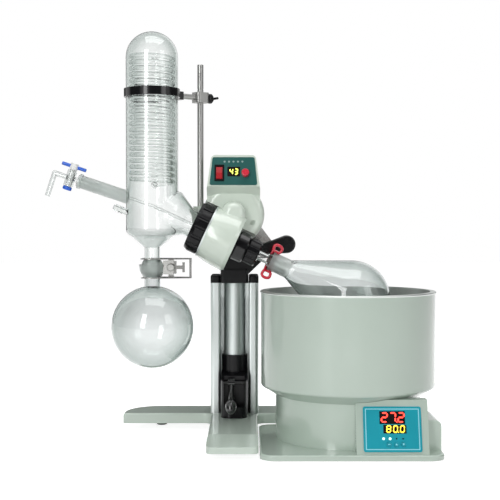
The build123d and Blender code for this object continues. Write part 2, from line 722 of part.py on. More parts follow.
def condenser():
    """Blown glass: jacket with its dome, flared branch to the head, feed socket and ball below."""
    body = condenser_solid(0, 0)
    body += Pos(COND_X, 0, BALL_Z) * Sphere(BALL_R)
    body += HEAD * rod(BRANCH_R + 6, 5, 6)
    body += FEED * tube(FEED_R + 1.6, FEED_R - 1, 4, FEED_LEN - 4)
    seat = coil_seat()
    for z in nipple_places()[:2]:
        body += along_y(rod(NIPPLE_R + 0.8, COND_R - seat - 0.5), COND_X, z, seat) + along_y(
            rod(NIPPLE_R, 6), COND_X, z, COND_R - 4)
    body -= condenser_solid(GLASS, 6) - sum_of(
        [along_y(rod(NIPPLE_R + 0.8, 12), COND_X, z, seat) for z in nipple_places()[:2]])
    body -= Pos(COND_X, 0, BALL_Z - 30) * rod(NECK_R - GLASS, 40)
    for z in nipple_places()[:2]:
        body += along_y(hose_nipple(2.4), COND_X, z, COND_R - 0.4)
        body -= along_y(rod(2.4, 60), COND_X, z, seat - 1)
    body += nub_frame() * hose_nipple(2.4)
    body -= nub_frame() * rod(2.4, 40, -8)
    return body


def nub_frame():
    """The slanted vacuum nipple at the lower left, towards the user."""
    out = Vector(-0.86, -0.36, 0.36).normalized()
    flat = Vector(-0.922, -0.387, 0) * (COND_R - 1.2)
    return Plane(origin=(COND_X + flat.X, flat.Y, FEED_Z - 11), x_dir=(0, 0, 1), z_dir=out)


def sum_of(shapes):
    total = shapes[0]
    for shape in shapes[1:]:
        total += shape
    return total


def cooling_coil():
    """Glass coil wound as a helix, with a bead and a straight stub at each end."""
    turn = Helix(COIL_PITCH, COIL_HIGH - COIL_LOW, COIL_R)
    start = Plane(origin=turn @ 0, z_dir=turn % 0)
    body = sweep(start * Circle(COIL_TUBE_R), turn, is_frenet=True)
    stub = Rot(0, 90, 0) * rod(COIL_TUBE_R, coil_seat() - COIL_R)
    for z in (0, COIL_HIGH - COIL_LOW):
        body += Pos(COIL_R, 0, z) * (Sphere(COIL_TUBE_R + 0.8) + stub)
    return Pos(COND_X, 0, COIL_LOW) * Rot(0, 0, 90) * body


def feed_tube():
    """Thin feed tube with its cone in the socket, running down the head axis into the vapour tube."""
    thin = 2.2
    outside = FEED_R - GLASS - 0.2
    cone = turned([(0, FEED_LEN - 36), (outside - 1, FEED_LEN - 36), (outside, FEED_LEN), (0, FEED_LEN)])
    start = FEED * cone
    start += FEED * rod(outside + 1.5, 2, FEED_LEN)
    start += FEED * rod(OUTLET_R, COCK_AT - COCK_R - COCK_STUB - FEED_LEN, FEED_LEN)
    start += FEED * rod(thin, FEED_LEN - 30)
    start += Pos(COND_X, 0, FEED_Z) * Sphere(thin + 0.3)
    start += HEAD * rod(thin, BRANCH_LEN + 90, -BRANCH_LEN)
    return start


def stopcock_body():
    """Glass barrel across the feed line, with the bent inlet tube."""
    body = cock_frame() * rod(COCK_R, COCK_LEN, -COCK_LEN / 2)
    body += FEED * rod(OUTLET_R, COCK_R + COCK_STUB + OUTLET_LEN, COCK_AT - COCK_R - COCK_STUB)
    bend = FEED * Pos(0, 0, COCK_AT + OUTLET_LEN)
    body += bend * Sphere(OUTLET_R + 0.4) + bend * Rot(-90, 0, 0) * rod(OUTLET_R, OUTLET_DROP)
    bore = OUTLET_R - 1.5
    body -= FEED * rod(bore, COCK_R + COCK_STUB + OUTLET_LEN, COCK_AT - COCK_R - COCK_STUB)
    body -= bend * Rot(-90, 0, 0) * rod(bore, OUTLET_DROP + 1)
    return body - cock_frame() * rod(PLUG_R + SLIDE_FIT, 60, -30)


def cock_frame():
    """Stopcock frame: its own +Z runs up the plug, square to the feed line."""
    return FEED * Pos(0, 0, COCK_AT) * Rot(90, 0, 0)


def stopcock_plug():
    """White plug, drilled across, with its hub and T-handle on top."""
    body = rod(PLUG_R, COCK_LEN + 12, -COCK_LEN / 2 - 6)
    hub = rod(HUB_R, HUB_LEN, COCK_LEN / 2 + 0.5)
    body += fillet(hub.edges().filter_by(GeomType.CIRCLE), 1.2)
    body -= Rot(90, 0, 0) * rod(1.2, 20, -10)
    grip = Rot(90, 0, 0) * rod(GRIP_R, 2 * GRIP_REACH, -GRIP_REACH)
    grip = fillet(grip.edges().filter_by(GeomType.CIRCLE), 1.0)
    return cock_frame() * (body + Pos(0, 0, COCK_LEN / 2 + 0.5 + HUB_LEN / 2) * grip)


def stopcock_nut():
    nut = ribbed(7.2, 6, 12, 1.0, -COCK_LEN / 2 - 6.5)
    return cock_frame() * (nut - rod(PLUG_R, 60, -30))


def receiving_flask():
    """Round flask with a cup that takes the condenser's ball."""
    neck = math.sqrt(BULB_R**2 - (NECK_R + 0.5) ** 2)
    cup = BALL_R + PART_GAP

    def solid(inset, top):
        ball = Pos(0, 0, BULB_Z) * Sphere(BULB_R - inset)
        return ball + rod(NECK_R + 0.5 - inset, top - BULB_Z - neck + 20, BULB_Z + neck - 20)

    top = BALL_Z + 4
    body = solid(0, BALL_Z - 10)
    body += Pos(0, 0, BALL_Z) * Sphere(cup + GLASS) & rod(40, 40, top - 40)
    body -= Pos(0, 0, BALL_Z) * Sphere(cup)
    body -= solid(GLASS, BALL_Z)
    body += tube(cup + GLASS + 0.8, cup - 0.3, 2.4, top - 2.4) - Pos(0, 0, BALL_Z) * Sphere(cup)
    return Pos(COND_X, 0, 0) * body


def fork_clip():
    """Bent steel fork over and under the ball joint."""
    plan = make_hull([*Circle(BALL_R + 4).edges(), *(Pos(FORK_REACH - 8, 0) * Rectangle(16, 22)).edges()])
    top = extrude(plan - Circle(NECK_R + PART_GAP) - Pos(-22, 0) * Rectangle(44, 2 * NECK_R + 1), 1.6)
    low = extrude(plan - Circle(NECK_R + 0.5 + PART_GAP) - Pos(-22, 0) * Rectangle(44, 2 * NECK_R + 2), 1.6)
    ball_seat = NECK_R + PART_GAP
    z_top = BALL_Z + math.sqrt(BALL_R**2 - ball_seat**2) + 0.1
    cup = BALL_R + PART_GAP + GLASS
    z_low = BALL_Z - math.sqrt(cup**2 - (ball_seat + 0.5) ** 2) - 1.7
    back = slab(FORK_REACH - 3, FORK_REACH, -9, 9, z_low, z_top + 1.6)
    body = Pos(0, 0, z_top) * top + Pos(0, 0, z_low) * low + back
    block = slab(26, 34, -8, 8, z_low + 1, z_top + 0.5)
    body += block
    body -= Pos(30, -20, BALL_Z) * Rot(-90, 0, 0) * rod(3 + SLIDE_FIT, 40)
    return Pos(COND_X, 0, 0) * body


def clip_screw():
    body = rod(3, 18, -1) + ribbed(6, 6, 12, 0.9, -6.5)
    return Pos(COND_X + 30, -8.5, BALL_Z) * Rot(-90, 0, 0) * body


def support_rod():
    """Plain rod with a shallow ring groove that marks its free top."""
    bar = rod(ROD_R, ROD_TOP - ROD_LOW, ROD_LOW)
    bar = chamfer(bar.edges().filter_by(GeomType.CIRCLE), ROD_EDGE)
    bar -= tube(ROD_R + 1, ROD_R - 0.5, ROD_GROOVE_W, ROD_GROOVE_Z)
    return Pos(ROD_X, ROD_Y, 0) * bar


def clamp_frame():
    """Clamp frame: origin on the condenser's axis, +X towards the rod."""
    way = math.atan2(ROD_Y, ROD_X - COND_X)
    return Pos(COND_X, 0, RING_Z) * Rot(0, 0, math.degrees(way))


def rod_reach():
    return math.hypot(ROD_X - COND_X, ROD_Y)


def ring_clamp():
    """Black band around the jacket, split at two ears."""
    inner = COND_R + PART_GAP
    body = tube(inner + BAND_T, inner, RING_H, -RING_H / 2)
    ears = slab(inner + 0.5, inner + 15, -7, 7, -RING_H / 2, RING_H / 2)
    body += ears - rod(inner + 0.3, 40, -20)
    body -= slab(inner - 5, inner + 9, -1.2, 1.2, -20, 20)
    return clamp_frame() * (body - Rot(0, 90, 0) * rod(ARM_R, 40, inner + 10))


def arm_end():
    return rod_reach() - ROD_R - 2


def clamp_arm():
    """Bright arm from the band to the boss head."""
    inner = COND_R + PART_GAP
    return clamp_frame() * Rot(0, 90, 0) * rod(ARM_R, arm_end() - inner - 10, inner + 10)


def boss_head():
    """Black block clamped on the rod, holding the arm."""
    body = Box(24, 20, 17)
    body = fillet(body.edges().filter_by(Axis.Z), 5)
    body = clamp_frame() * Pos(rod_reach(), 0, 0) * body
    body -= Pos(ROD_X, ROD_Y, RING_Z - 40) * rod(ROD_R + SLIDE_FIT, 80)
    body -= clamp_frame() * Rot(0, 90, 0) * rod(ARM_R, arm_end() - COND_R, COND_R)
    screw = clamp_frame() * Pos(rod_reach(), 0, 0) * Rot(0, 90, 0) * rod(3 + SLIDE_FIT, 60, ROD_R)
    return body - screw


def boss_screw():
    """Thumbscrew of the boss head with a T-bar."""
    body = rod(3, 20, ROD_R + 1) + ribbed(8, 9, 10, 1.4, 13.5)
    body = body + Pos(0, 0, 24) * Rot(90, 0, 0) * rod(2, 30, -15)
    return clamp_frame() * Pos(rod_reach(), 0, 0) * Rot(0, 90, 0) * body


def head_overlay():
    """Teal front panel with cut-outs for the switch, the display and the knob."""
    low, top, h = PANEL_LOW_W / 2, PANEL_TOP_W / 2, PANEL_H / 2
    face = make_face(Polyline((-low, -h), (low, -h), (top, h), (-top, h), close=True))
    face = fillet(face.vertices(), 3)
    face -= Pos(*rocker_at()) * Rectangle(12, 23)
    face -= Pos(0.5, -1) * Rectangle(20, 16)
    face -= Pos(*knob_at()) * Circle(3 + SLIDE_FIT)
    return PANEL * extrude(face, OVERLAY_T)


def head_display():
    """Display module: lens in the panel's window, body through the casing and the board behind it."""
    lens = Pos(0.5, -1, 0.5) * Box(20, 16, 1.0)
    body = Pos(0.5, -1, -SHELL_T - 4) * Box(18, 14, 2 * SHELL_T + 8)
    board = Pos(2, 6, -SHELL_T - 12) * Box(30, 24, 1.6)
    return PANEL * (lens + body + board + Pos(8, 8, -SHELL_T - 15) * Box(10, 10, 5))


def rocker_bezel():
    frame = Box(15, 27, 1.6) - Box(10.4, 21.4, 5)
    sleeve = Pos(0, 0, -4.5) * (Box(11.9, 22.9, 9) - Box(10.4, 21.4, 12))
    return PANEL * Pos(*rocker_at(), OVERLAY_T + 0.8) * (frame + sleeve)


def rocker():
    """Lit rocker: a disc on its cross axis, cut to a shallow V on top."""
    disc = Rot(0, 90, 0) * rod(10.3, 9.6, -4.8)
    top = Pos(0, 0, 10) * Box(20, 40, 10)
    disc -= Pos(0, 0, 0.2) * Rot(7, 0, 0) * top
    disc -= Pos(0, 0, 0.2) * Rot(-7, 0, 0) * top
    return PANEL * Pos(*rocker_at(), -1.0) * disc


def speed_knob():
    cap = rod(6, 8, OVERLAY_T + 0.5)
    cap = fillet(cap.edges().filter_by(GeomType.CIRCLE).sort_by(Axis.Z)[-1], 1.5)
    cap -= Pos(0, 5.2, OVERLAY_T + 8.5) * Box(1.4, 4, 1.6)
    return PANEL * Pos(*knob_at(), 0) * (cap + rod(3, 14, -10))


def speed_pot():
    return PANEL * Pos(*knob_at(), 0) * (rod(8, 9, -SHELL_T - 9) - rod(3 + SLIDE_FIT, 20, -11))


def inlet(wide, high):
    """Three-pin mains inlet, built facing +Z with its flange on z = 0."""
    body = Pos(0, 0, 1) * Box(wide + 6, high + 6, 2) + Pos(0, 0, -7) * Box(wide, high, 14)
    body -= Pos(0, 0, -2) * Box(wide - 4, high - 4, 12)
    for x in (-6, 0, 6):
        body += Pos(x, 0, -5) * Box(1.6, 4, 8)
    return body


def head_inlet_frame():
    return Plane(origin=(COL_X, 74, TILT_Z + 62), x_dir=(-1, 0, 0), z_dir=(0, 1, 0))


def head_inlet():
    return head_inlet_frame() * inlet(24, 17)


def bath_pot():
    """Deep-drawn steel pot with a rolled rim."""
    inner = POT_R
    outer = POT_R + POT_WALL
    floor = POT_FLOOR
    with BuildSketch(Plane.XZ) as face:
        with BuildLine():
            Polyline((0, floor - POT_WALL), (outer - POT_BEND, floor - POT_WALL))
            bend = POT_BEND * (1 - math.sqrt(0.5))
            low = floor - POT_WALL
            ThreePointArc((outer - POT_BEND, low), (outer - bend, low + bend), (outer, low + POT_BEND))
            Polyline((outer, floor - POT_WALL + POT_BEND), (outer, RIM_Z - 3), (RIM_R - 1, RIM_Z - 3), (RIM_R, RIM_Z - 1.5))
            Polyline((RIM_R, RIM_Z - 1.5), (RIM_R - 1, RIM_Z), (inner, RIM_Z), (inner, floor + POT_BEND))
            ThreePointArc((inner, floor + POT_BEND), (inner - bend, floor + bend), (inner - POT_BEND, floor))
            Polyline((inner - POT_BEND, floor), (0, floor), (0, floor - POT_WALL))
        make_face()
    return Pos(BATH_X, 0, 0) * revolve(face.sketch, Axis.Z)


def bath_jacket():
    """Painted jacket: straight wall, knuckle and tapered foot."""
    w = JACKET_WALL
    top = RIM_Z - 3
    body = turned([(JACKET_R - w, top), (JACKET_R, top), (JACKET_R, KNUCKLE_Z), (PEDESTAL_R + 0.6, TAPER_Z),
                   (PEDESTAL_R - 12, TAPER_Z), (PEDESTAL_R - 12, TAPER_Z + w), (PEDESTAL_R, TAPER_Z + w),
                   (JACKET_R - w, KNUCKLE_Z + 1)])
    knuckle = [e for e in body.edges().filter_by(GeomType.CIRCLE) if abs(e.center().Z - KNUCKLE_Z) < 0.01]
    return Pos(BATH_X, 0, 0) * fillet(knuckle, 4)


console_lean = math.radians(CONSOLE_LEAN)
CONSOLE_MID_Z = 47.0
CONSOLE_FRONT = PLATE_FRONT + 7.0
CONSOLE_MID_Y = CONSOLE_FRONT + (CONSOLE_MID_Z - BATH_FOOT_H - PLATE_LIP) * math.tan(console_lean)
CONSOLE = Plane(
    origin=(CONSOLE_X, CONSOLE_MID_Y, CONSOLE_MID_Z),
    x_dir=(1, 0, 0),
    z_dir=(0, -math.cos(console_lean), math.sin(console_lean)),
)


def bath_base():
    """Moulding under the bath: base plate, round pedestal, leaning console and the side housing."""
    z0 = BATH_FOOT_H
    z1 = z0 + PLATE_LIP
    plan = Pos((PLATE_LEFT + PLATE_RIGHT) / 2, (PLATE_FRONT + PLATE_BACK) / 2) * RectangleRounded(
        PLATE_RIGHT - PLATE_LEFT, PLATE_BACK - PLATE_FRONT, 22)
    plate = Pos(0, 0, z0) * extrude(plan, PLATE_LIP)
    plate = fillet(plate.faces().sort_by(Axis.Z)[-1].edges(), 3)
    body = plate + Pos(BATH_X, 0, 0) * rod(PEDESTAL_R, TAPER_Z - z1, z1)
    rise = math.tan(console_lean)
    top_y = CONSOLE_FRONT + (CONSOLE_TOP - z1) * rise
    side = make_face(Polyline((CONSOLE_FRONT, z1 - 1), (top_y, CONSOLE_TOP), (top_y + 20, CONSOLE_TOP),
                              (-60, TAPER_Z - 10), (-60, z1 - 1), close=True))
    console = extrude(Plane.YZ * side, CONSOLE_W / 2, both=True)
    console = Pos(CONSOLE_X, 0, 0) * fillet(console.edges().filter_by(Axis.X).sort_by(Axis.Z)[-1], 3)
    housing = slab(BATH_X + 60, PLATE_RIGHT - 1, -110, -30, z1 - 1, 56)
    housing = fillet(housing.edges().filter_by(Axis.Y).sort_by(Axis.Z)[-2:].sort_by(Axis.X)[-1], 9)
    body += console + housing
    hollow = Pos(BATH_X, 0, 0) * rod(PEDESTAL_R - PEDESTAL_WALL, TAPER_Z + 1)
    inner = make_face(Polyline((CONSOLE_FRONT + 5, z0 - 1), (top_y + 4, CONSOLE_TOP - 4), (top_y + 16, CONSOLE_TOP - 4),
                               (-60, TAPER_Z - 16), (-60, z0 - 1), close=True))
    hollow += Pos(CONSOLE_X, 0, 0) * extrude(Plane.YZ * inner, CONSOLE_W / 2 - 4, both=True)
    hollow += slab(BATH_X + 60, PLATE_RIGHT - 5, -106, -34, z0 - 1, 52)
    body -= hollow
    for x in key_places():
        body -= CONSOLE * Pos(x, key_row(), 0) * rod(KEY_R + PART_GAP, 30, -15)
    body -= bath_inlet_frame() * Box(24.2, 17.2, 30)
    body -= CONSOLE * Pos(0, DISPLAY_UP, 0) * Box(50, 30, 40)
    return body - Pos(BATH_X, 0, 0) * turned([
        (0, TAPER_Z), (PEDESTAL_R + 0.6 + PART_GAP, TAPER_Z), (JACKET_R + PART_GAP, KNUCKLE_Z - PART_GAP),
        (JACKET_R + PART_GAP, RIM_Z), (0, RIM_Z)])


def bath_inlet_frame():
    return Plane(origin=(PLATE_RIGHT - 1, -70, 32), x_dir=(0, 1, 0), z_dir=(1, 0, 0))


def bath_inlet():
    return bath_inlet_frame() * inlet(24, 17)


def bath_bottom():
    """Bottom plate under the pedestal, console and side housing."""
    z0 = BATH_FOOT_H
    plan = Pos((PLATE_LEFT + PLATE_RIGHT) / 2, (PLATE_FRONT + PLATE_BACK) / 2) * RectangleRounded(
        PLATE_RIGHT - PLATE_LEFT - 10, PLATE_BACK - PLATE_FRONT - 10, 18)
    return Pos(0, 0, z0 - 1.5) * extrude(plan, 1.5)


def bath_foot_places():
    return [(x, y) for x in (PLATE_LEFT + 24, PLATE_RIGHT - 24) for y in (PLATE_FRONT + 26, PLATE_BACK - 24)]


def bath_feet():
    return Compound([Pos(x, y, 0) * rod(9, BATH_FOOT_H - 1.5) for x, y in bath_foot_places()])


def heating_ring():
    """Tubular heating ring clamped under the pot's floor."""
    body = Pos(0, 0, POT_FLOOR - POT_WALL - 5) * Torus(84, 5)
    feet = [Rot(0, 0, 120 * n) * slab(74, 94, -6, 6, POT_FLOOR - POT_WALL - 4, POT_FLOOR - POT_WALL) for n in range(3)]
    return Pos(BATH_X, 0, 0) * (body + feet[0] + feet[1] + feet[2])


def bath_probe():
    """Temperature probe under the middle of the pot."""
    return Pos(BATH_X, 30, 0) * rod(4, 26, POT_FLOOR - POT_WALL - 26)


def bath_overlay():
    """Teal panel with a window for the two displays and round keyholes."""
    face = RectangleRounded(BATH_PANEL_W, BATH_PANEL_H, 3)
    face -= Pos(0, DISPLAY_UP) * Rectangle(52, 32)
    for x in key_places():
        face -= Pos(x, key_row()) * Circle(KEY_R + PART_GAP)
    return CONSOLE * extrude(face, OVERLAY_T)


def bath_display():
    """Display module: lens in the panel's window, body through the console and the board behind it."""
    lens = Box(52, 32, 1.0)
    body = Pos(0, 0, -8) * Box(50, 30, 16)
    board = Pos(0, -6, -16.8) * Box(70, 46, 1.6) + Pos(18, 0, -21) * Box(20, 16, 8)
    return CONSOLE * Pos(0, DISPLAY_UP, 0.5) * (lens + body + board)


def key_places():
    return [KEY_MID + KEY_STEP * (n - 1) for n in range(3)]


def key_row():
    return -BATH_PANEL_H / 2 + 11.0


def bath_key(x):
    """Push key with a collar behind the panel."""
    face = OVERLAY_T + KEY_TRAVEL + 0.4
    body = rod(KEY_R, face + 4 + KEY_TRAVEL + 0.3, -4 - KEY_TRAVEL - 0.3)
    return CONSOLE * Pos(x, key_row(), 0) * body


def build():
    add("base_casting", base_casting())
    add("base_feet", base_feet())
    add("column", column())
    add("column_screws", column_screws())
    add("column_caps", column_caps())
    add("guide_block", guide_block())
    add("lift_clamp", lift_clamp())
    add("cam_lever", cam_lever())
    add("slide_tube", slide_tube())
    add("bracket", bracket())
    add("tilt_lever", tilt_lever())
    add("tilt_plate", tilt_plate())
    add("head_housing", head_housing())
    add("rear_cover", rear_cover())
    add("motor", motor())
    add("worm_shaft", worm_shaft())
    add("worm_wheel", worm_wheel())
    add("spindle_bearings", spindle_bearings())
    add("spindle", spindle())
    add("small_nut", small_nut())
    add("vapour_tube", vapour_tube())
    add("evaporating_flask", evaporating_flask())
    add("joint_clip", joint_clip())
    add("union_nut", union_nut())
    add("trim_ring", trim_ring())
    add("vacuum_seal", vacuum_seal())
    add("condenser", condenser())
    add("cooling_coil", cooling_coil())
    add("feed_tube", feed_tube())
    add("stopcock_body", stopcock_body())
    add("stopcock_plug", stopcock_plug())
    add("stopcock_nut", stopcock_nut())
    add("receiving_flask", receiving_flask())
    add("fork_clip", fork_clip())
    add("clip_screw", clip_screw())
    add("support_rod", support_rod())
    add("ring_clamp", ring_clamp())
    add("clamp_arm", clamp_arm())
    add("boss_head", boss_head())
    add("boss_screw", boss_screw())
    add("head_overlay", head_overlay())
    add("head_display", head_display())
    add("rocker_bezel", rocker_bezel())
    add("rocker", rocker())
    add("speed_knob", speed_knob())
    add("speed_pot", speed_pot())
    add("head_inlet", head_inlet())
    add("bath_pot", bath_pot())
    add("bath_jacket", bath_jacket())
    add("bath_base", bath_base())
    add("bath_bottom", bath_bottom())
    add("bath_feet", bath_feet())
    add("heating_ring", heating_ring())
    add("bath_probe", bath_probe())
    add("bath_inlet", bath_inlet())
    add("bath_overlay", bath_overlay())
    add("bath_display", bath_display())
    for number, x in enumerate(key_places(), 1):
        add(f"bath_key_{number}", bath_key(x))


build()

# The origin is under the middle of the whole part, on the bench.
whole = Compound([Compound(p.solids()) for p in parts.values()]).bounding_box()
SHIFT = Vector(-(whole.min.X + whole.max.X) / 2, -(whole.min.Y + whole.max.Y) / 2, -whole.min.Z)
for name, shape in parts.items():
    export_step(Pos(SHIFT.X, SHIFT.Y, SHIFT.Z) * shape, f"parts/{name}.step")
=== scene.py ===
# %% [markdown]
# # A rotary evaporator, dressed in Blender
# The CAD model gives every piece its place. This lesson keeps those places and adds what the eye
# looks for: blown glass, gloss paint, ribbed black plastic, bright steel and lit displays.

# %% load the frame
import bpy
import bmesh
import json
import math
from mathutils import Matrix, Vector


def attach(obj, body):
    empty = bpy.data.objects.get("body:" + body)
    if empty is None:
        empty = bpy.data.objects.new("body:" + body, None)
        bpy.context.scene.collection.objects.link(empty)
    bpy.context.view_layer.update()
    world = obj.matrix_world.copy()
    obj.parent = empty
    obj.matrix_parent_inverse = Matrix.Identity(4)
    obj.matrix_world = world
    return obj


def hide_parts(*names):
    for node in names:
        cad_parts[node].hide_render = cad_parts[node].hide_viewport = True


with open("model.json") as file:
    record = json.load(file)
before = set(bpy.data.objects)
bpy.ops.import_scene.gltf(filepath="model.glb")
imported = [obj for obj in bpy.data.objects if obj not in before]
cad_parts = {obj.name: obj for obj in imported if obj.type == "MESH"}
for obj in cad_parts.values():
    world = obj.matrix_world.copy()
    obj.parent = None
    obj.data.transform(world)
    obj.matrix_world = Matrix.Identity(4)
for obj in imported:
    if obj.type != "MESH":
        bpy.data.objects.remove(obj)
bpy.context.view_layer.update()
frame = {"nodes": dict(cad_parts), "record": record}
nodes = frame["nodes"]
body_of_node = {n: b for b, ns in frame["record"]["behaviour"]["bodies"].items() for n in ns}

# %% [markdown]
# ## The places that everything shares
# The head leans 25 degrees, the feed line 18.5, and two panels lean back. A piece could be drawn straight
# in the room's axes, but slanted numbers are hard to read. Each slanted place gets a matrix here instead,
# so that a piece can be drawn upright in its own frame and then laid where the machine has it.

# %% frames
MM = 0.001
# from the CAD model's own axes to the shared frame, which has the part in its middle
SHIFT = Vector((15.3397, -13.5, 0.0)) * MM


def frame_at(x, y, z, across, out):
    """Matrix of a local frame: its z along out, its x along across, at a place in millimetres."""
    w = Vector(out).normalized()
    u = Vector(across).normalized()
    v = w.cross(u)
    turn = Matrix((u, v, w)).transposed().to_4x4()
    return Matrix.Translation(Vector((x, y, z)) * MM + SHIFT) @ turn


def leaning(deg):
    """The direction that a panel faces when it leans back by some degrees."""
    return (0, -math.cos(math.radians(deg)), math.sin(math.radians(deg)))


COLUMN_X = -26.0
COND_X = -154.5
HEAD_X, HEAD_Z = -89.0, 345.7
AXIS_TILT = math.radians(25.0)
FEED_TILT = math.radians(18.5)
FEED_Z = HEAD_Z + (HEAD_X - COND_X) * math.tan(AXIS_TILT)
COCK_REACH = 136.0
PANEL_Y, PANEL_Z, PANEL_LEAN = -7.0, 430.0, 16.3
CONSOLE_X, CONSOLE_Z, CONSOLE_LEAN = 208.0, 47.0, 17.0
CONSOLE_FOOT, PLATE_TOP = -143.0, 12.0
CONSOLE_Y = CONSOLE_FOOT + (CONSOLE_Z - PLATE_TOP) * math.tan(math.radians(CONSOLE_LEAN))

HEAD = frame_at(HEAD_X, 0, HEAD_Z, (0, 1, 0), (math.cos(AXIS_TILT), 0, -math.sin(AXIS_TILT)))
FEED = frame_at(COND_X, 0, FEED_Z, (0, 1, 0), (-math.cos(FEED_TILT), 0, math.sin(FEED_TILT)))
COCK = FEED @ Matrix.Translation((0, 0, COCK_REACH * MM)) @ Matrix.Rotation(math.radians(90), 4, "X")
PANEL = frame_at(COLUMN_X, PANEL_Y, PANEL_Z, (1, 0, 0), leaning(PANEL_LEAN))
CONSOLE = frame_at(CONSOLE_X, CONSOLE_Y, CONSOLE_Z, (1, 0, 0), leaning(CONSOLE_LEAN))
print("head axis", HEAD.col[2][:3])

# %% [markdown]
# ## Paint, plastic and metal
# No real surface is one flat colour: paint drifts a little, and metal is brushed one way. Image textures
# would do it, but they need files and seams. One helper wires a shader instead, with a soft cloud for the
# colour and a fine grain for gloss and relief. Constants go straight onto the shader's own sockets.


# %% node helpers
def add(tree, kind, **fixed):
    """A new node with some of its inputs set."""
    node = tree.nodes.new(kind)
    for label, value in fixed.items():
        node.inputs[label].default_value = value
    return node


def blank(name):
    """A new material, its tree and its shader."""
    mat = bpy.data.materials.new(name)
    mat.use_nodes = True
    return mat, mat.node_tree, mat.node_tree.nodes["Principled BSDF"]


def blend(tree, factor, first, second):
    """A colour between two, by a factor."""
    node = tree.nodes.new("ShaderNodeMix")
    node.data_type = "RGBA"
    node.inputs["A"].default_value = (*first, 1)
    node.inputs["B"].default_value = (*second, 1)
    tree.links.new(factor, node.inputs["Factor"])
    return node.outputs["Result"]


def relieve(tree, shader, height, strength, depth):
    """Fine relief on a shader, from a height."""
    bump = add(tree, "ShaderNodeBump", Strength=strength, Distance=depth)
    tree.links.new(height, bump.inputs["Height"])
    tree.links.new(bump.outputs["Normal"], shader.inputs["Normal"])


# %% finish helper
CLOUD_SCALE, GLOSS_SPREAD = 14.0, 0.2
RELIEF_DEPTH = 0.0006
COAT_ROUGH = 0.06


def finish(name, colour, rough, metallic=0.0, drift=0.04, grain=180.0, relief=0.04,
           stretch=(1, 1, 1), coat=0.0, shine=0.5):
    """A node material: colour follows soft noise, gloss and relief follow fine noise."""
    mat, tree, shader = blank(name)
    where = add(tree, "ShaderNodeTexCoord")
    lay = add(tree, "ShaderNodeMapping", Scale=stretch)
    tree.links.new(where.outputs["Object"], lay.inputs["Vector"])
    cloud = add(tree, "ShaderNodeTexNoise", Scale=CLOUD_SCALE, Detail=3.0)
    tree.links.new(where.outputs["Object"], cloud.inputs["Vector"])
    darker = [c * (1 - drift) for c in colour]
    lighter = [min(1.0, c * (1 + drift)) for c in colour]
    tree.links.new(blend(tree, cloud.outputs["Fac"], darker, lighter), shader.inputs["Base Color"])
    fine = add(tree, "ShaderNodeTexNoise", Scale=grain, Detail=4.0)
    tree.links.new(lay.outputs["Vector"], fine.inputs["Vector"])
    smoothest, roughest = rough * (1 - GLOSS_SPREAD), min(1.0, rough * (1 + GLOSS_SPREAD))
    gloss = add(tree, "ShaderNodeMapRange", **{"To Min": smoothest, "To Max": roughest})
    tree.links.new(fine.outputs["Fac"], gloss.inputs["Value"])
    tree.links.new(gloss.outputs["Result"], shader.inputs["Roughness"])
    relieve(tree, shader, fine.outputs["Fac"], relief, RELIEF_DEPTH)
    shader.inputs["Metallic"].default_value = metallic
    shader.inputs["Specular IOR Level"].default_value = shine
    shader.inputs["Coat Weight"].default_value = coat
    shader.inputs["Coat Roughness"].default_value = COAT_ROUGH
    return mat


# %% [markdown]
# ## Paints, plastics and films
# The castings have a pale gloss enamel, the nuts and levers are moulded black plastic, and the panels are
# printed film. One shader with three colours would make them look alike, because they differ most in
# gloss. So the enamel has a clear coat, and the plastic reflects little and stays black under the lamps.

# %% paints, plastics and films
ivory_paint = finish("ivory_paint", (0.65, 0.73, 0.645), 0.2, drift=0.02, grain=320, relief=0.05, coat=0.5)
bath_paint = finish("bath_paint", (0.485, 0.575, 0.505), 0.2, drift=0.02, grain=320, relief=0.05, coat=0.6)
# painted light: the base's paint is a lighter copy of the bath's paint, for the light that falls on its flat top
lit_base_paint = finish("lit_base_paint", (0.575, 0.665, 0.59), 0.22, drift=0.02, grain=320, relief=0.05, coat=0.5)
black_plastic = finish("black_plastic", (0.006, 0.006, 0.007), 0.24, drift=0.15, grain=700, relief=0.06,
                       shine=0.22)
black_gloss = finish("black_gloss", (0.007, 0.007, 0.008), 0.14, drift=0.15, grain=300, relief=0.02,
                     coat=0.15, shine=0.35)
lever_gloss = finish("lever_gloss", (0.012, 0.012, 0.013), 0.1, drift=0.15, grain=300, relief=0.02, coat=0.8)
soft_rubber = finish("soft_rubber", (0.022, 0.022, 0.022), 0.75, drift=0.2, grain=900, relief=0.3)
red_plastic = finish("red_plastic", (0.62, 0.02, 0.045), 0.28, drift=0.06, grain=500, relief=0.04, coat=0.3)
dark_red = finish("dark_red", (0.40, 0.012, 0.018), 0.24, drift=0.08, grain=500, relief=0.04, coat=0.5)
blue_plastic = finish("blue_plastic", (0.02, 0.12, 0.62), 0.3, drift=0.06, grain=500, relief=0.05)
white_plug = finish("white_plug", (0.86, 0.87, 0.86), 0.35, drift=0.02, grain=400, relief=0.03)
teal_film = finish("teal_film", (0.005, 0.085, 0.075), 0.35, drift=0.05, grain=1100, relief=0.08)
teal_blue_film = finish("teal_blue_film", (0.007, 0.33, 0.42), 0.35, drift=0.16, grain=1100, relief=0.08)
grey_print = finish("grey_print", (0.24, 0.36, 0.34), 0.45, drift=0.05, grain=900, relief=0.04)
cyan_print = finish("cyan_print", (0.33, 0.74, 0.82), 0.4, drift=0.05, grain=900, relief=0.04)
key_cap = finish("key_cap", (0.009, 0.34, 0.43), 0.4, drift=0.08, grain=700, relief=0.06)
display_glass = finish("display_glass", (0.012, 0.008, 0.008), 0.12, drift=0.2, grain=300, relief=0.01,
                       coat=0.5)
print("paints, plastics and films", len(bpy.data.materials))

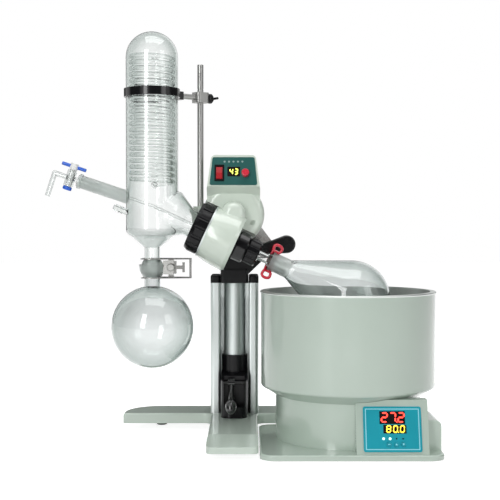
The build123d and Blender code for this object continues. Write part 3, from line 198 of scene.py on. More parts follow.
# %% [markdown]
# ## Metals
# The column is satin aluminium, the bath's pot is spun steel, and the rods and screws are bright steel.
# Brush marks could be modelled as fine grooves, but they are far too small to be seen one by one. Instead
# the grain is drawn out along one axis, which gives the streaks without any more faces.

# %% metals
ALONG = (1, 1, 0.02)
column_satin = finish("column_satin", (0.63, 0.67, 0.66), 0.36, 1.0, 0.03, 260, 0.05, ALONG)
tube_satin = finish("tube_satin", (0.58, 0.62, 0.61), 0.46, 1.0, 0.03, 340, 0.04, ALONG)
pot_steel = finish("pot_steel", (0.64, 0.67, 0.65), 0.42, 1.0, 0.05, 380, 0.06, (1, 1, 0.05))
# painted shade: the rod's and the fork clip's steel are darker copies of the bright steel, for the dark room
# that they mirror
shaded_rod_steel = finish("shaded_rod_steel", (0.36, 0.36, 0.35), 0.34, 1.0, 0.03, 200, 0.0, (1, 1, 0.05))
shaded_clip_steel = finish("shaded_clip_steel", (0.30, 0.30, 0.29), 0.26, 1.0, 0.05, 300, 0.02, (1, 1, 0.2))
brushed_steel = finish("brushed_steel", (0.60, 0.60, 0.58), 0.22, 1.0, 0.04, 420, 0.05, (1, 1, 0.04))
gear_bronze = finish("gear_bronze", (0.60, 0.38, 0.14), 0.3, 1.0, 0.06, 300, 0.05)
print("with metals", len(bpy.data.materials))

# %% [markdown]
# ## Glass
# Laboratory glass is clear in the middle and dark at its outline, where one looks along the wall. A plain
# glass shader in a white room loses that outline, so a tint that grows towards grazing angles paints it in:
# partly the glass's own colour along the wall, mostly painted shade.
# Blown walls are never quite even, hence a slight wave. Ground joints are the same glass, rough and cloudy.

# %% glass helper
GLASS_IOR = 1.47
WAVE_SCALE, GROUND_SCALE = 22.0, 900.0
WAVE_DEPTH = 0.001


def clear_glass(name, middle, rim_shade, rough=0.0, wave=0.02, through=1.0):
    """Blown glass: darker towards grazing angles, with a slight wave in the wall."""
    mat, tree, shader = blank(name)
    shader.inputs["Transmission Weight"].default_value = through
    shader.inputs["IOR"].default_value = GLASS_IOR
    shader.inputs["Roughness"].default_value = rough
    # painted shade: the base colour darkens towards grazing angles
    facing = add(tree, "ShaderNodeLayerWeight", Blend=0.5)
    tree.links.new(blend(tree, facing.outputs["Facing"], middle, rim_shade), shader.inputs["Base Color"])
    where = add(tree, "ShaderNodeTexCoord")
    swell = add(tree, "ShaderNodeTexNoise", Scale=GROUND_SCALE if rough else WAVE_SCALE)
    tree.links.new(where.outputs["Object"], swell.inputs["Vector"])
    relieve(tree, shader, swell.outputs["Fac"], wave, WAVE_DEPTH)
    return mat


# %% glasses
# the copies differ in how much painted shade they carry: darkest rims on the feed line, faintest on the coil
glass = clear_glass("clear_glass", (0.972, 0.982, 0.977), (0.34, 0.42, 0.39))
# painted shade: the flasks' glass is greyed all over, to dim the bright floor seen through them
shaded_bulb_glass = clear_glass("shaded_bulb_glass", (0.905, 0.926, 0.922), (0.34, 0.42, 0.39))
line_glass = clear_glass("line_glass", (0.93, 0.945, 0.938), (0.16, 0.21, 0.19))
thin_glass = clear_glass("thin_glass", (0.985, 0.992, 0.988), (0.42, 0.50, 0.47))
frosted_glass = clear_glass("frosted_glass", (0.78, 0.82, 0.80), (0.66, 0.71, 0.685), 0.3, 0.12, 0.86)
print("with glasses", len(bpy.data.materials))

# %% [markdown]
# ## Lit figures
# The displays glow. Lamps behind each bar would be slow and noisy, so the bars themselves give light, just
# enough to stand out from the dark window.


# %% lit finishes
def lit(name, colour, power):
    """A glowing segment or lamp, a little uneven as a real one is."""
    mat = finish(name, colour, 0.3)
    shader = mat.node_tree.nodes["Principled BSDF"]
    shader.inputs["Emission Color"].default_value = (*colour, 1)
    shader.inputs["Emission Strength"].default_value = power
    return mat


red_digit = lit("red_digit", (1.0, 0.06, 0.04), 2.2)
amber_digit = lit("amber_digit", (1.0, 0.72, 0.06), 2.0)
lime_digit = lit("lime_digit", (0.86, 1.0, 0.12), 2.4)
pale_lamp = lit("pale_lamp", (0.66, 1.0, 0.88), 1.1)
print("finishes", len(bpy.data.materials))

# %% [markdown]
# ## Materials on the solids that stay
# Castings, tubes, nuts and levers already have their real shape in the CAD model. They could be drawn
# again here, but nothing would be gained, so each one only gets its finish.

# %% give each solid its finish
wear = {
    lit_base_paint: ["base_casting"],
    bath_paint: ["bath_jacket", "bath_base"],
    ivory_paint: ["head_housing", "rear_cover"],
    column_satin: ["column", "guide_block"],
    tube_satin: ["slide_tube", "trim_ring"],
    black_plastic: ["column_caps", "lift_clamp", "bracket", "union_nut", "small_nut",
                    "boss_screw", "rocker_bezel", "head_inlet", "bath_inlet", "speed_pot"],
    shaded_rod_steel: ["support_rod", "clamp_arm", "boss_head"],
    shaded_clip_steel: ["fork_clip"],
    lever_gloss: ["cam_lever"],
    brushed_steel: ["column_screws", "tilt_plate", "clip_screw", "bath_bottom",
                    "heating_ring", "bath_probe", "worm_shaft", "spindle_bearings", "motor"],
    black_gloss: ["spindle", "tilt_lever", "ring_clamp"],
    pot_steel: ["bath_pot"],
    gear_bronze: ["worm_wheel"],
    soft_rubber: ["base_feet", "bath_feet", "vacuum_seal"],
    red_plastic: ["joint_clip", "speed_knob"],
    dark_red: ["rocker"],
    blue_plastic: ["stopcock_nut", "stopcock_plug"],
    teal_film: ["head_overlay"],
    teal_blue_film: ["bath_overlay", "bath_display"],
    display_glass: ["head_display"],
    key_cap: ["bath_key_1", "bath_key_2", "bath_key_3"],
    glass: ["condenser"],
    shaded_bulb_glass: ["receiving_flask", "evaporating_flask"],
    thin_glass: ["cooling_coil", "vapour_tube"],
    line_glass: ["feed_tube", "stopcock_body"],
}
for material, names in wear.items():
    for name in names:
        nodes[name].data.materials.clear()
        nodes[name].data.materials.append(material)
print("dressed", sum(len(v) for v in wear.values()), "of", len(nodes))

# %% [markdown]
# ## Blown glass
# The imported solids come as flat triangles, which glass would show as facets. A finer mesh would only make
# the facets smaller. So a copy of each glass piece is welded and shaded smooth, and stands for its solid.


# %% welding helper
WELD_GAP = 2e-6


def placed(name, mesh, body):
    """An object for a finished mesh, riding on a body."""
    piece = bpy.data.objects.new(name, mesh)
    bpy.context.scene.collection.objects.link(piece)
    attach(piece, body)
    return piece


def welded(node, angle=35.0):
    """A smooth copy of a CAD solid, with creases kept where faces meet sharply."""
    mesh = nodes[node].data.copy()
    mesh.name = node + "_smooth"
    shape = bmesh.new()
    shape.from_mesh(mesh)
    bmesh.ops.remove_doubles(shape, verts=shape.verts, dist=WELD_GAP)
    shape.to_mesh(mesh)
    shape.free()
    if "custom_normal" in mesh.attributes:
        mesh.attributes.remove(mesh.attributes["custom_normal"])
    mesh.shade_smooth()
    mesh.set_sharp_from_angle(angle=math.radians(angle))
    piece = placed(node + "_smooth", mesh, body_of_node[node])
    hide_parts(node)
    return piece


# %% welded copies of the glass
condenser = welded("condenser")
receiver = welded("receiving_flask")
flask = welded("evaporating_flask")
feed = welded("feed_tube")
welded("stopcock_body")
welded("vapour_tube")
print("condenser faces", len(condenser.data.polygons))

# %% [markdown]
# ## Ground joints
# Where two glass pieces meet, their faces are ground and look frosted. The joint could be a piece of its
# own, but it is the same glass, so the faces along each joint simply take the frosted finish. A joint is
# known by its place along an axis and its distance from it, both in millimetres.


# %% frosted faces
def second_finish(piece, material, place, test):
    """Faces whose middle passes the test, in a local frame in millimetres, take another finish."""
    mesh = piece.data
    mesh.materials.append(material)
    spot = len(mesh.materials) - 1
    back = place.inverted()
    count = 0
    for face in mesh.polygons:
        at = back @ face.center / MM
        if test(math.hypot(at.x, at.y), at.z, at):
            face.material_index = spot
            count += 1
    return count


UPRIGHT = frame_at(COND_X, 0, 0, (1, 0, 0), (0, 0, 1))
NO_INNER = -1.0
# piece, frame, start and end along the axis, inner and outer distance from it
ground_joints = (
    (flask, HEAD, 132, 166, NO_INNER, 17),
    (feed, FEED, 84, 123, 5, 9),
    (condenser, FEED, 62, 121, NO_INNER, 12.5),
    (condenser, UPRIGHT, 262, 293, 12.2, 18),
    (receiver, UPRIGHT, 264, 284, NO_INNER, 22),
)
frosted = 0
for piece, place, start, end, inner, outer in ground_joints:
    frosted += second_finish(piece, frosted_glass, place,
                             lambda r, s, at: start < s < end and inner < r < outer)
print("frosted faces", frosted)

# %% [markdown]
# ## The stopcock's plug
# The plug is white plastic with two blue grips, one piece in the hand. Splitting it would leave an open
# seam, so one copy carries both finishes.

# %% plug and grips
GRIP_FROM, GRIP_ABOVE = 7.0, 14
plug = welded("stopcock_plug", 40)
plug.data.materials.clear()
plug.data.materials.append(white_plug)
grips = second_finish(plug, blue_plastic, COCK, lambda r, z, at: abs(at.y) > GRIP_FROM and z > GRIP_ABOVE)
print("grip faces", grips)

# %% [markdown]
# ## The bright rod
# A bright steel rod holds the ring clamp. It mirrors the room, so a flat facet would show as a stripe, and
# it gets a welded copy as the glass does.

# %% rod
rod = welded("support_rod")
print("rod faces", len(rod.data.polygons))

# %% [markdown]
# ## The cooling coil
# Cold water runs through a glass coil inside the condenser. Its turns could be swept in code, but a coil
# follows a rule, so Geometry Nodes draw it: a spiral curve and a round profile swept along it. The
# tree's inputs are the coil's own sizes. Every tree here ends in the same two nodes, so they have a helper.


# %% tree helpers
def node_tree(name, counts, sizes):
    """A new tree with named inputs: counts, sizes and the finish. Gives the tree and its inputs."""
    tree = bpy.data.node_groups.new(name, "GeometryNodeTree")
    face = tree.interface
    face.new_socket("Geometry", in_out="OUTPUT", socket_type="NodeSocketGeometry")
    for label in counts:
        face.new_socket(label, in_out="INPUT", socket_type="NodeSocketInt")
    for label in sizes:
        face.new_socket(label, in_out="INPUT", socket_type="NodeSocketFloat")
    face.new_socket("Finish", in_out="INPUT", socket_type="NodeSocketMaterial")
    return tree, tree.nodes.new("NodeGroupInput").outputs


def made_real(tree, given, geometry):
    """Ends a tree in Realize Instances and Set Material, because instances are lost in an export."""
    real = add(tree, "GeometryNodeRealizeInstances")
    paint = add(tree, "GeometryNodeSetMaterial")
    out = add(tree, "NodeGroupOutput")
    join = tree.links.new
    join(geometry, real.inputs["Geometry"])
    join(real.outputs["Geometry"], paint.inputs["Geometry"])
    join(given["Finish"], paint.inputs["Material"])
    join(paint.outputs["Geometry"], out.inputs["Geometry"])
    return tree


def grown(name, tree, place, **sizes):
    """Runs a node tree with its sizes and keeps the result as a plain mesh, laid in place."""
    holder = bpy.data.objects.new(name, bpy.data.meshes.new(name))
    bpy.context.scene.collection.objects.link(holder)
    nodes_on = holder.modifiers.new("made", "NODES")
    nodes_on.node_group = tree
    for socket in tree.interface.items_tree:
        if socket.in_out == "INPUT" and socket.name in sizes:
            nodes_on[socket.identifier] = sizes[socket.name]
    bpy.context.view_layer.update()
    made = holder.evaluated_get(bpy.context.evaluated_depsgraph_get())
    mesh = bpy.data.meshes.new_from_object(made)
    holder.modifiers.remove(nodes_on)
    mesh.transform(place)
    holder.data = mesh
    return holder


# %% coil tree
STEPS_PER_TURN, TUBE_SIDES = 40, 14


def coil_tree():
    """A round tube wound on a spiral."""
    tree, given = node_tree("glass_coil", (), ("Coil radius", "Tube radius", "Height", "Turns"))
    spiral = add(tree, "GeometryNodeCurveSpiral", Resolution=STEPS_PER_TURN)
    ring = add(tree, "GeometryNodeCurvePrimitiveCircle", Resolution=TUBE_SIDES)
    sweep = add(tree, "GeometryNodeCurveToMesh", **{"Fill Caps": True})
    soft = add(tree, "GeometryNodeSetShadeSmooth")
    join = tree.links.new
    join(given["Coil radius"], spiral.inputs["Start Radius"])
    join(given["Coil radius"], spiral.inputs["End Radius"])
    join(given["Height"], spiral.inputs["Height"])
    join(given["Turns"], spiral.inputs["Rotations"])
    join(given["Tube radius"], ring.inputs["Radius"])
    join(spiral.outputs["Curve"], sweep.inputs["Curve"])
    join(ring.outputs["Curve"], sweep.inputs["Profile Curve"])
    join(sweep.outputs["Mesh"], soft.inputs["Geometry"])
    return made_real(tree, given, soft.outputs["Geometry"])


# %% the coil
COIL_LOW, COIL_RISE, COIL_TURNS = 411.0, 201.6, 21.0
COIL_R, COIL_TUBE_R = 33, 3.6
quarter = Matrix.Rotation(math.radians(90), 4, "Z")
coil_foot = frame_at(COND_X, 0, COIL_LOW, (1, 0, 0), (0, 0, 1)) @ quarter
coil = grown("coil_turns", coil_tree(), coil_foot, Turns=COIL_TURNS, Height=COIL_RISE * MM, Finish=thin_glass,
             **{"Coil radius": COIL_R * MM, "Tube radius": COIL_TUBE_R * MM})
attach(coil, "head")
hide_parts("cooling_coil")
print("coil faces", len(coil.data.polygons))

# %% [markdown]
# ## The coil's two ends
# A straight stub runs from each end of the coil to its hose boss in the jacket. A cylinder would do here,
# but the red clip's loops need a bent rod later, and one helper can serve both: a curve with a round bevel,
# turned to plain mesh at once, which keeps its section round in the bends.


# %% rod helper
def bent_rod(name, points, radius, place, material, body):
    """A round rod along a smooth line through millimetre points, kept as a plain mesh."""
    line = bpy.data.curves.new(name, "CURVE")
    line.dimensions = "3D"
    line.bevel_depth = radius * MM
    line.bevel_resolution = 4
    line.resolution_u = 8
    line.use_fill_caps = True
    path = line.splines.new("NURBS")
    path.points.add(len(points) - 1)
    for spot, at in zip(path.points, points):
        spot.co = (*[c * MM for c in at], 1)
    path.order_u = min(3, len(points))
    path.use_endpoint_u = True
    holder = bpy.data.objects.new(name + "_line", line)
    bpy.context.scene.collection.objects.link(holder)
    bpy.context.view_layer.update()
    made = holder.evaluated_get(bpy.context.evaluated_depsgraph_get())
    mesh = bpy.data.meshes.new_from_object(made)
    bpy.data.objects.remove(holder)
    mesh.name = name
    mesh.transform(place)
    mesh.materials.clear()
    mesh.materials.append(material)
    mesh.shade_smooth()
    return placed(name, mesh, body)


# %% stubs
STUB_MID, STUB_END = 35.5, 37.8
for end, z in (("low", COIL_LOW), ("high", COIL_LOW + COIL_RISE)):
    way_out = [(0, COIL_R, z), (0, STUB_MID, z), (0, STUB_END, z)]
    bent_rod("coil_stub_" + end, way_out, COIL_TUBE_R, UPRIGHT, thin_glass, "head")
print("coil stubs 2")

# %% [markdown]
# ## The red joint clip
# Springy plastic holds the flask on the vapour tube: a band that is open towards the user, with a
# lip on each side, and an open loop at the top and bottom. A full ring with a piece cut out would need a
# boolean. The band is simply one outline turned part of the way round, and each loop is a bent rod.


# %% turning helper
def part_turned(name, outline, start, end, count, place, material, body):
    """A closed outline of radius and height in millimetres, turned from one angle to another."""
    mesh = bpy.data.meshes.new(name)
    shape = bmesh.new()
    rows = []
    for n in range(count + 1):
        a = math.radians(start + (end - start) * n / count)
        spots = [(r * math.cos(a) * MM, r * math.sin(a) * MM, z * MM) for r, z in outline]
        rows.append([shape.verts.new(at) for at in spots])
    for near, far in zip(rows, rows[1:]):
        for n in range(len(outline)):
            m = (n + 1) % len(outline)
            shape.faces.new((near[n], near[m], far[m], far[n]))
    shape.faces.new(rows[0])
    shape.faces.new(rows[-1])
    bmesh.ops.recalc_face_normals(shape, faces=shape.faces)
    shape.to_mesh(mesh)
    shape.free()
    mesh.transform(place)
    mesh.materials.append(material)
    mesh.shade_smooth()
    mesh.set_sharp_from_angle(angle=math.radians(40))
    return placed(name, mesh, body)


# %% clip
CLIP_REACH, CLIP_STEPS = 112, 48
LOOP_R = 2.3
band = [(12.8, 129.4), (18.2, 129.4), (19.2, 130.4), (19.2, 142.2), (18.4, 143.0), (16.6, 143.0),
        (16.6, 140.4), (15.1, 140.4), (15.1, 138.2), (16.6, 138.2), (16.6, 131.4), (12.8, 131.4)]
clip = part_turned("clip_band", band, -CLIP_REACH, CLIP_REACH, CLIP_STEPS, HEAD, red_plastic, "rotor")
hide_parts("joint_clip")
for side in (1, -1):
    foot = [(-6.4, side * 17.2, 131), (-7.0, side * 22, 129.6), (-7.2, side * 26, 130.4), (-7.2, side * 28, 136)]
    head = [(-7.2, side * 26, 142.4), (-7.0, side * 22, 143.4), (-6.4, side * 17.2, 142)]
    bent_rod("clip_loop_low" if side < 0 else "clip_loop_top", foot + head, LOOP_R, HEAD, red_plastic, "rotor")
print("clip band and 2 loops")

# %% [markdown]
# ## Screws at the back
# Slotted screws hold the gear case's back plate, and a pair holds each mains inlet. Each screw could be
# copied by hand, but they repeat along an arc, so one short node tree sets any number of them.


# %% screw tree
DRIVER_SLOT, SLOT_HEIGHT = (0.02, 0.0009, 0.0006), 0.0005
HEAD_SIDES = 24


def screw_tree():
    """Slotted screw heads along an arc."""
    tree, given = node_tree("screw_ring", ("Count",), ("Ring radius", "Sweep", "Head radius", "Head height"))
    ring = add(tree, "GeometryNodeCurveArc")
    head = add(tree, "GeometryNodeMeshCylinder", Vertices=HEAD_SIDES)
    slot = add(tree, "GeometryNodeMeshCube", Size=DRIVER_SLOT)
    lift = add(tree, "GeometryNodeTransform", Translation=(0, 0, SLOT_HEIGHT))
    cut = add(tree, "GeometryNodeMeshBoolean")
    cut.operation = "DIFFERENCE"
    place = add(tree, "GeometryNodeInstanceOnPoints")
    join = tree.links.new
    join(given["Count"], ring.inputs["Resolution"])
    join(given["Ring radius"], ring.inputs["Radius"])
    join(given["Sweep"], ring.inputs["Sweep Angle"])
    join(given["Head radius"], head.inputs["Radius"])
    join(given["Head height"], head.inputs["Depth"])
    join(slot.outputs["Mesh"], lift.inputs["Geometry"])
    join(head.outputs["Mesh"], cut.inputs["Mesh 1"])
    join(lift.outputs["Geometry"], cut.inputs["Mesh 2"])
    join(ring.outputs["Curve"], place.inputs["Points"])
    join(cut.outputs["Mesh"], place.inputs["Instance"])
    return made_real(tree, given, place.outputs["Instances"])


# %% rows of screws
SCREW_R, SCREW_H = 3.2, 1.2
screws = screw_tree()
case_back = frame_at(COLUMN_X, 98.0, 362.5, (-1, 0, 0), (0, 1, 0))
bath_side = frame_at(284.0, -70.0, 32.0, (0, 1, 0), (1, 0, 0))
head_back = frame_at(COLUMN_X, 74.0, 424.5, (-1, 0, 0), (0, 1, 0))
rows_of_screws = (
    ("case", case_back, 6, 42.0, "head"),
    ("bath_inlet", bath_side, 2, 19.0, "stand"),
    ("head_inlet", head_back, 2, 19.0, "head"),
)
for label, place, count, ring, body in rows_of_screws:
    sweep = 2 * math.pi * (1 - 1 / count)
    row = grown(label + "_screws", screws, place, Count=count, Sweep=sweep, Finish=brushed_steel,
                **{"Ring radius": ring * MM, "Head radius": SCREW_R * MM, "Head height": SCREW_H * MM})
    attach(row, body)
    print(label, "screw faces", len(row.data.polygons))

# %% [markdown]
# ## Vent slots as painted shade
# Warm air leaves through slots round the back of the bath's pedestal. Cutting them would mean changing the
# solid. From outside a slot shows only the shade inside it, so thin black bars of painted shade are set along
# an arc and turned to face outwards.


# %% vent tree
BAR_DEPTH = 0.001


def vent_shade_tree():
    """Upright bars along an arc, each facing away from its middle."""
    tree, given = node_tree("vent_shade_bars", ("Count",), ("Wall radius", "Spread", "Slot width", "Slot height"))
    wall = add(tree, "GeometryNodeCurveArc")
    size = add(tree, "ShaderNodeCombineXYZ", X=BAR_DEPTH)
    slot = add(tree, "GeometryNodeMeshCube")
    where = add(tree, "GeometryNodeInputPosition")
    turn = add(tree, "FunctionNodeAlignRotationToVector")
    turn.axis = "X"
    place = add(tree, "GeometryNodeInstanceOnPoints")
    join = tree.links.new
    join(given["Count"], wall.inputs["Resolution"])
    join(given["Wall radius"], wall.inputs["Radius"])
    join(given["Spread"], wall.inputs["Sweep Angle"])
    join(given["Slot width"], size.inputs["Y"])
    join(given["Slot height"], size.inputs["Z"])
    join(size.outputs["Vector"], slot.inputs["Size"])
    join(where.outputs["Position"], turn.inputs["Vector"])
    join(wall.outputs["Curve"], place.inputs["Points"])
    join(slot.outputs["Mesh"], place.inputs["Instance"])
    join(turn.outputs["Rotation"], place.inputs["Rotation"])
    return made_real(tree, given, place.outputs["Instances"])


# %% the vents
VENT_COUNT, VENT_SPREAD, VENT_START = 13, 50, 65
VENT_R, VENT_W, VENT_H = 113.7, 3.4, 30
turned_back = Matrix.Rotation(math.radians(VENT_START), 4, "Z")
back_of_bath = frame_at(154.6, 0, 46.0, (1, 0, 0), (0, 0, 1)) @ turned_back
# black bars of painted shade where the slots are
shade_bars = grown("bath_vent_shade", vent_shade_tree(), back_of_bath, Count=VENT_COUNT, Spread=math.radians(VENT_SPREAD),
              Finish=black_plastic,
              **{"Wall radius": VENT_R * MM, "Slot width": VENT_W * MM, "Slot height": VENT_H * MM})
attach(shade_bars, "stand")
print("vent faces", len(shade_bars.data.polygons))

# %% [markdown]
# ## Flat shapes with a thickness
# Sheet metal, printed film and lit bars are all flat outlines with a little depth. Curves or booleans could
# give them, but a plain prism from a list of corners is shorter and has no stray faces.


# %% tiles
def tiles(name, outlines, place, low, thick, material, body):
    """Flat shapes with a little thickness, from outlines in millimetres in a local frame."""
    mesh = bpy.data.meshes.new(name)
    shape = bmesh.new()
    for points in outlines:
        top = [shape.verts.new((p[0] * MM, p[1] * MM, (low + thick) * MM)) for p in points]
        foot = [shape.verts.new((p[0] * MM, p[1] * MM, low * MM)) for p in points]
        shape.faces.new(top)
        shape.faces.new(list(reversed(foot)))
        for n in range(len(points)):
            m = (n + 1) % len(points)
            shape.faces.new((foot[n], foot[m], top[m], top[n]))
    bmesh.ops.recalc_face_normals(shape, faces=shape.faces)
    shape.to_mesh(mesh)
    shape.free()
    mesh.transform(place)
    mesh.materials.append(material)
    return placed(name, mesh, body)


def block(x0, x1, y0, y1):
    """Corners of a rectangle."""
    return [(x0, y0), (x1, y0), (x1, y1), (x0, y1)]


def disc(x, y, r, count=20):
    """Corners of a round shape."""
    turn = 2 * math.pi / count
    return [(x + r * math.cos(turn * n), y + r * math.sin(turn * n)) for n in range(count)]


def border(w, h, line):
    """Four strips around a w by h field, mitred at the corners."""
    x, y, i, j = w / 2, h / 2, w / 2 - line, h / 2 - line
    out = [(-x, -y), (x, -y), (x, y), (-x, y)]
    inn = [(-i, -j), (i, -j), (i, j), (-i, j)]
    return [[out[n], out[(n + 1) % 4], inn[(n + 1) % 4], inn[n]] for n in range(4)]


# %% [markdown]
# ## The fork clip's cheek
# A sheet-steel cheek joins the clip's two forks on the side towards the user, and the thumbscrew passes
# through it. A boolean could cut the hole. Two halves, each with half of the hole in its outline, need
# none and leave clean edges. A latch goes on from the cheek's end.

# %% cheek of the fork clip
FORK = frame_at(COND_X, -8.2, 279.0, (1, 0, 0), (0, -1, 0))
SHEET = 0.7
CHEEK_FROM, CHEEK_TO = 17.5, 34
HOLE_X, HOLE_R, HOLE_SIDES = 30, 3.4, 24
half_circle = disc(0, 0, HOLE_R, HOLE_SIDES)[:HOLE_SIDES // 2 + 1]
halves = []
for side, left, right in ((1, 10.6, 11.4), (-1, 11.0, 11.6)):
    hole = [(HOLE_X - x, side * y) for x, y in half_circle]
    rim = [(CHEEK_TO, 0), (CHEEK_TO, side * right), (CHEEK_FROM, side * left)]
    halves.append([(CHEEK_FROM, 0)] + hole + rim)
tiles("fork_cheek", halves, FORK, 0.0, SHEET, brushed_steel, "head")
latch = [(CHEEK_TO, -10), (39, -10), (39, -3), (48, -3), (48, -8), (52, -8)]
latch += [(x, -y) for x, y in reversed(latch)]
tiles("fork_latch", [latch], FORK, 0.0, SHEET, shaded_clip_steel, "head")
print("fork cheek and latch")

# %% [markdown]
# ## Seven-bar figures
# Each display shows plain numbers in seven slanted bars. A font would need a file and has other shapes, so
# each bar is one outline with pointed ends, and a figure is a list of its lit bars.

# %% figures
BARS = {"0": "abcdef", "2": "abged", "3": "abgcd", "4": "fgbc", "7": "abc", "8": "abcdefg"}
BAR_GAP, BAR_THICK, SLANT = 0.18, 0.17, 0.06
POINT_STEP, POINT_R = 1.3, 0.085


def bar_outline(kind, w, h, t):
    """Six corners of one bar in a w by h figure, t thick."""
    half = h / 2
    ends = {
        "a": ((0, h), (w, h)), "b": ((w, h), (w, half)), "c": ((w, half), (w, 0)), "d": ((0, 0), (w, 0)),
        "e": ((0, half), (0, 0)), "f": ((0, h), (0, half)), "g": ((0, half), (w, half)),
    }[kind]
    p, q = Vector(ends[0]), Vector(ends[1])
    run = (q - p).normalized()
    side = Vector((-run.y, run.x)) * t / 2
    gap = run * t * BAR_GAP
    tip = run * t / 2
    p, q = p + gap, q - gap
    return [p, p + tip + side, q - tip + side, q, q - tip - side, p + tip - side]


def figures(text, x, y, w, h, step):
    """Outlines of a row of figures, its lower left corner at x, y in millimetres."""
    outlines = []
    for sign in text:
        if sign == ".":
            outlines.append(disc(x - step + w * POINT_STEP, y, h * POINT_R, 8))
            continue
        for kind in BARS[sign]:
            corners = bar_outline(kind, w, h, h * BAR_THICK)
            outlines.append([(x + p.x + p.y * SLANT, y + p.y) for p in corners])
        x += step
    return outlines


print("figures known", len(BARS))

# %% [markdown]
# ## The two panels
# A printed panel is film with dark windows, a border line, small lamps and the lit figures. It could be one
# painted picture, but layers a fraction of a millimetre apart stay sharp at any distance. The head's panel
# also has a row of plain dots, and the three keys have plain signs that move with them.

# %% head panel
DISPLAY_TOP, FILM_TOP, PRINT = 1.0, 1.5, 0.06
speed = figures("43", -5.6, -5.4, 4.0, 9.0, 7.6)
tiles("speed_figures", speed, PANEL, DISPLAY_TOP, 0.15, lime_digit, "head")
dots = [disc(-14 + 7.0 * n, 15.5, 1.6) for n in range(5)]
tiles("head_marks", dots, PANEL, FILM_TOP, PRINT, grey_print, "head")
print("head panel figures and marks")

# %% bath panel
WINDOW_LOW, FIGURE_LOW = 1.55, 1.6
LAMP_Y = -13.8
dark_windows = [block(-18.6, 18.8, 7.4, 26.2), block(-13.4, 20.4, -6.2, 6.3)]
reading = figures("27.2", -15.8, 10.6, 8.0, 13.0, 12.2)
setting = figures("80.0", -8.6, -4.4, 5.6, 9.4, 10.0)
lamps_on = [disc(x, LAMP_Y, 1.9) for x in (-13.4, -4.0)]
lamps_off = [disc(x, LAMP_Y, 1.2) for x in (5.5, 15.0)]
# name, outlines, height above the panel, thickness, finish
bath_layers = (
    ("window_film", [block(-26.4, 26.4, -6.4, 26.4)], DISPLAY_TOP, 0.55, teal_blue_film),
    ("border", border(79, 60, 1.3), FILM_TOP, PRINT, cyan_print),
    ("windows", dark_windows, WINDOW_LOW, 0.04, display_glass),
    ("red_figures", reading, FIGURE_LOW, 0.12, red_digit),
    ("amber_figures", setting, FIGURE_LOW, 0.12, amber_digit),
    ("lamps_on", lamps_on, FILM_TOP, 0.25, pale_lamp),
    ("lamps_off", lamps_off, FILM_TOP, 0.2, display_glass),
)
for label, outlines, height, thick, material in bath_layers:
    tiles("bath_" + label, outlines, CONSOLE, height, thick, material, "stand")
print("bath panel layers", len(bath_layers))

# %% key signs
KEY_MID, KEY_STEP, KEY_Y, KEY_TOP = 5.0, 10.5, -22.0, 2.5
signs = {
    1: block(-1.6, 1.6, -0.5, 0.5),
    2: [(-1.7, -1.2), (1.7, -1.2), (0, 1.6)],
    3: [(-1.7, 1.2), (0, -1.6), (1.7, 1.2)],
}
for n, sign in signs.items():
    at = CONSOLE @ Matrix.Translation(((KEY_MID + KEY_STEP * (n - 2)) * MM, KEY_Y * MM, 0))
    tiles(f"key_sign_{n}", [sign], at, KEY_TOP, 0.08, cyan_print, f"bath_key_{n}")
print("key signs", len(signs))

# %% [markdown]
# ## Camera
# The photograph was taken with a long lens from a little above the bath's rim. A short lens close by would
# swell the bath, so the camera stands well back and looks down by just over a degree.

# %% camera
EYE = Vector((0.0, -1.660, 0.344))
LOOK_DOWN = 1.31
lens = bpy.data.cameras.new("camera")
lens.lens = 75.6
lens.sensor_width = 36.0
eye = bpy.data.objects.new("camera", lens)
eye.location = EYE + SHIFT
eye.rotation_euler = (math.radians(90 - LOOK_DOWN), 0, 0)
bpy.context.scene.collection.objects.link(eye)
bpy.context.scene.camera = eye
print("camera", eye.location[:])

# %% [markdown]
# ## A white room
# The background is white because the floor and world show white to the camera and through glass, not
# through more light on the machine. Bright metal in an all-white room would look flat, so mirrored rays
# see four tall windows and a bright ceiling instead.


# %% world helpers
def maths(tree, kind, *values):
    """One step of arithmetic on values or sockets."""
    node = tree.nodes.new("ShaderNodeMath")
    node.operation = kind
    for socket, value in zip(node.inputs, values):
        if isinstance(value, float):
            socket.default_value = value
        else:
            tree.links.new(value, socket)
    return node.outputs[0]


def pick(tree, when, no, yes):
    """One value or the other, by a 0 or 1 value."""
    node = tree.nodes.new("ShaderNodeMix")
    tree.links.new(when, node.inputs["Factor"])
    for socket, value in (("A", no), ("B", yes)):
        if isinstance(value, float):
            node.inputs[socket].default_value = value
        else:
            tree.links.new(value, node.inputs[socket])
    return node.outputs["Result"]


def ramp(tree, value, low, high, least=0.0):
    """A soft rise from the least value to 1."""
    node = add(tree, "ShaderNodeMapRange", **{"From Min": low, "From Max": high, "To Min": least})
    node.interpolation_type = "SMOOTHSTEP"
    tree.links.new(value, node.inputs["Value"])
    return node.outputs["Result"]


# %% mirrored windows
WINDOWS, FIRST_WINDOW = 4.0, math.radians(100)
WINDOW_EDGE, CEILING_EDGE = (-0.1, 0.8), (0.55, 0.85)
DARK_WALL = 0.07


def studio_windows(tree):
    """What metal mirrors: four tall windows around the room, and a bright ceiling."""
    where = add(tree, "ShaderNodeTexCoord")
    apart = add(tree, "ShaderNodeSeparateXYZ")
    tree.links.new(where.outputs["Generated"], apart.inputs[0])
    around = maths(tree, "ARCTAN2", apart.outputs["Y"], apart.outputs["X"])
    wave = maths(tree, "COSINE", maths(tree, "MULTIPLY_ADD", around, WINDOWS, FIRST_WINDOW))
    walls = ramp(tree, wave, *WINDOW_EDGE, DARK_WALL)
    ceiling = ramp(tree, apart.outputs["Z"], *CEILING_EDGE)
    return maths(tree, "MAXIMUM", walls, ceiling)


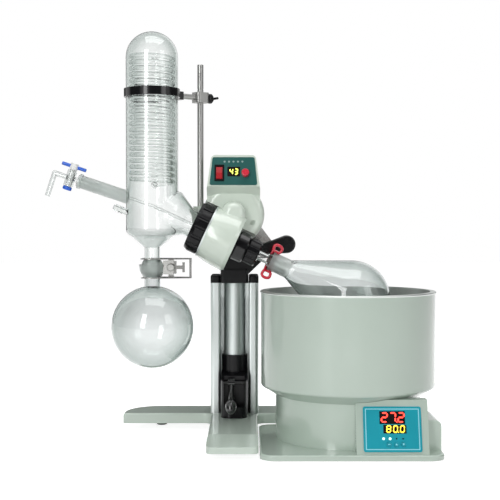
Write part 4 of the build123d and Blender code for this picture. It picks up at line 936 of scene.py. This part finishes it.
# %% world
ROOM_LIGHT, WHITE = 0.23, 1.0
world = bpy.data.worlds.new("studio")
bpy.context.scene.world = world
world.use_nodes = True
sky = world.node_tree
back = sky.nodes["Background"]
back.inputs["Color"].default_value = (1, 1, 1, 1)
ray = sky.nodes.new("ShaderNodeLightPath").outputs
mirrored = pick(sky, ray["Is Glossy Ray"], ROOM_LIGHT, studio_windows(sky))
open_view = maths(sky, "MAXIMUM", ray["Is Camera Ray"], ray["Is Transmission Ray"])
sky.links.new(pick(sky, open_view, mirrored, WHITE), back.inputs["Strength"])
print("world nodes", len(sky.nodes))

# %% floor
FLOOR_GREY, FLOOR_GLOW, GLOW_IN_GLASS = 0.62, 0.85, 0.6
FLOOR_REACH = 8
floor_mat, tree, shader = blank("pale_floor")
shader.inputs["Base Color"].default_value = (FLOOR_GREY, FLOOR_GREY, FLOOR_GREY, 1)
shader.inputs["Roughness"].default_value = 0.6
shader.inputs["Emission Color"].default_value = (1, 1, 1, 1)
ray = tree.nodes.new("ShaderNodeLightPath").outputs
seen = maths(tree, "MAXIMUM", ray["Is Camera Ray"], ray["Is Glossy Ray"])
glow = maths(tree, "MULTIPLY", seen, FLOOR_GLOW)
in_glass = pick(tree, ray["Is Transmission Ray"], glow, GLOW_IN_GLASS)
tree.links.new(in_glass, shader.inputs["Emission Strength"])
corners = [(x, y, 0) for x, y in block(-FLOOR_REACH, FLOOR_REACH, -FLOOR_REACH, FLOOR_REACH)]
floor_mesh = bpy.data.meshes.new("floor")
floor_mesh.from_pydata(corners, [], [(0, 1, 2, 3)])
floor_mesh.materials.append(floor_mat)
floor = bpy.data.objects.new("floor", floor_mesh)
bpy.context.scene.collection.objects.link(floor)
print("floor", floor.dimensions[:2])

# %% [markdown]
# ## Lamps
# A tall window lamp from the left gives the long highlights, with soft fills from the right, above and
# behind. A small low lamp lifts the bath's foot and console. It and the lamp behind would show as bright
# patches in the glass and metal, so those two are hidden from mirrored rays and from rays through glass.


# %% lamps
def soft_lamp(name, at, look, wide, high, power):
    """A rectangular lamp that faces a point, in metres and watts."""
    lamp = bpy.data.lights.new(name, "AREA")
    lamp.shape = "RECTANGLE"
    lamp.size = wide
    lamp.size_y = high
    lamp.energy = power
    holder = bpy.data.objects.new(name, lamp)
    holder.location = at
    holder.rotation_euler = (Vector(look) - Vector(at)).to_track_quat("-Z", "Y").to_euler()
    bpy.context.scene.collection.objects.link(holder)
    return holder


soft_lamp("window", (-0.75, -1.6, 0.85), (-0.05, 0, 0.4), 0.42, 1.3, 11.5)
soft_lamp("right_fill", (1.6, -1.3, 1.1), (0.1, 0, 0.3), 0.8, 1.0, 5)
soft_lamp("overhead", (0.1, -0.2, 1.9), (0.1, 0, 0.3), 1.4, 1.0, 12)
rear = soft_lamp("back_fill", (0.5, 1.8, 1.2), (0.05, 0.05, 0.3), 1.2, 1.0, 12)
front = soft_lamp("low_front", (0.2, -1.7, 0.3), (0.16, 0, 0.08), 0.5, 0.3, 5)
for lamp in (rear, front):
    lamp.visible_transmission = False
    lamp.visible_glossy = False
print("lamps", len(bpy.data.lights))

# %% [markdown]
# ## The view
# The view transform stays plain.

# %% finish
bpy.context.scene.view_settings.view_transform = "Standard"
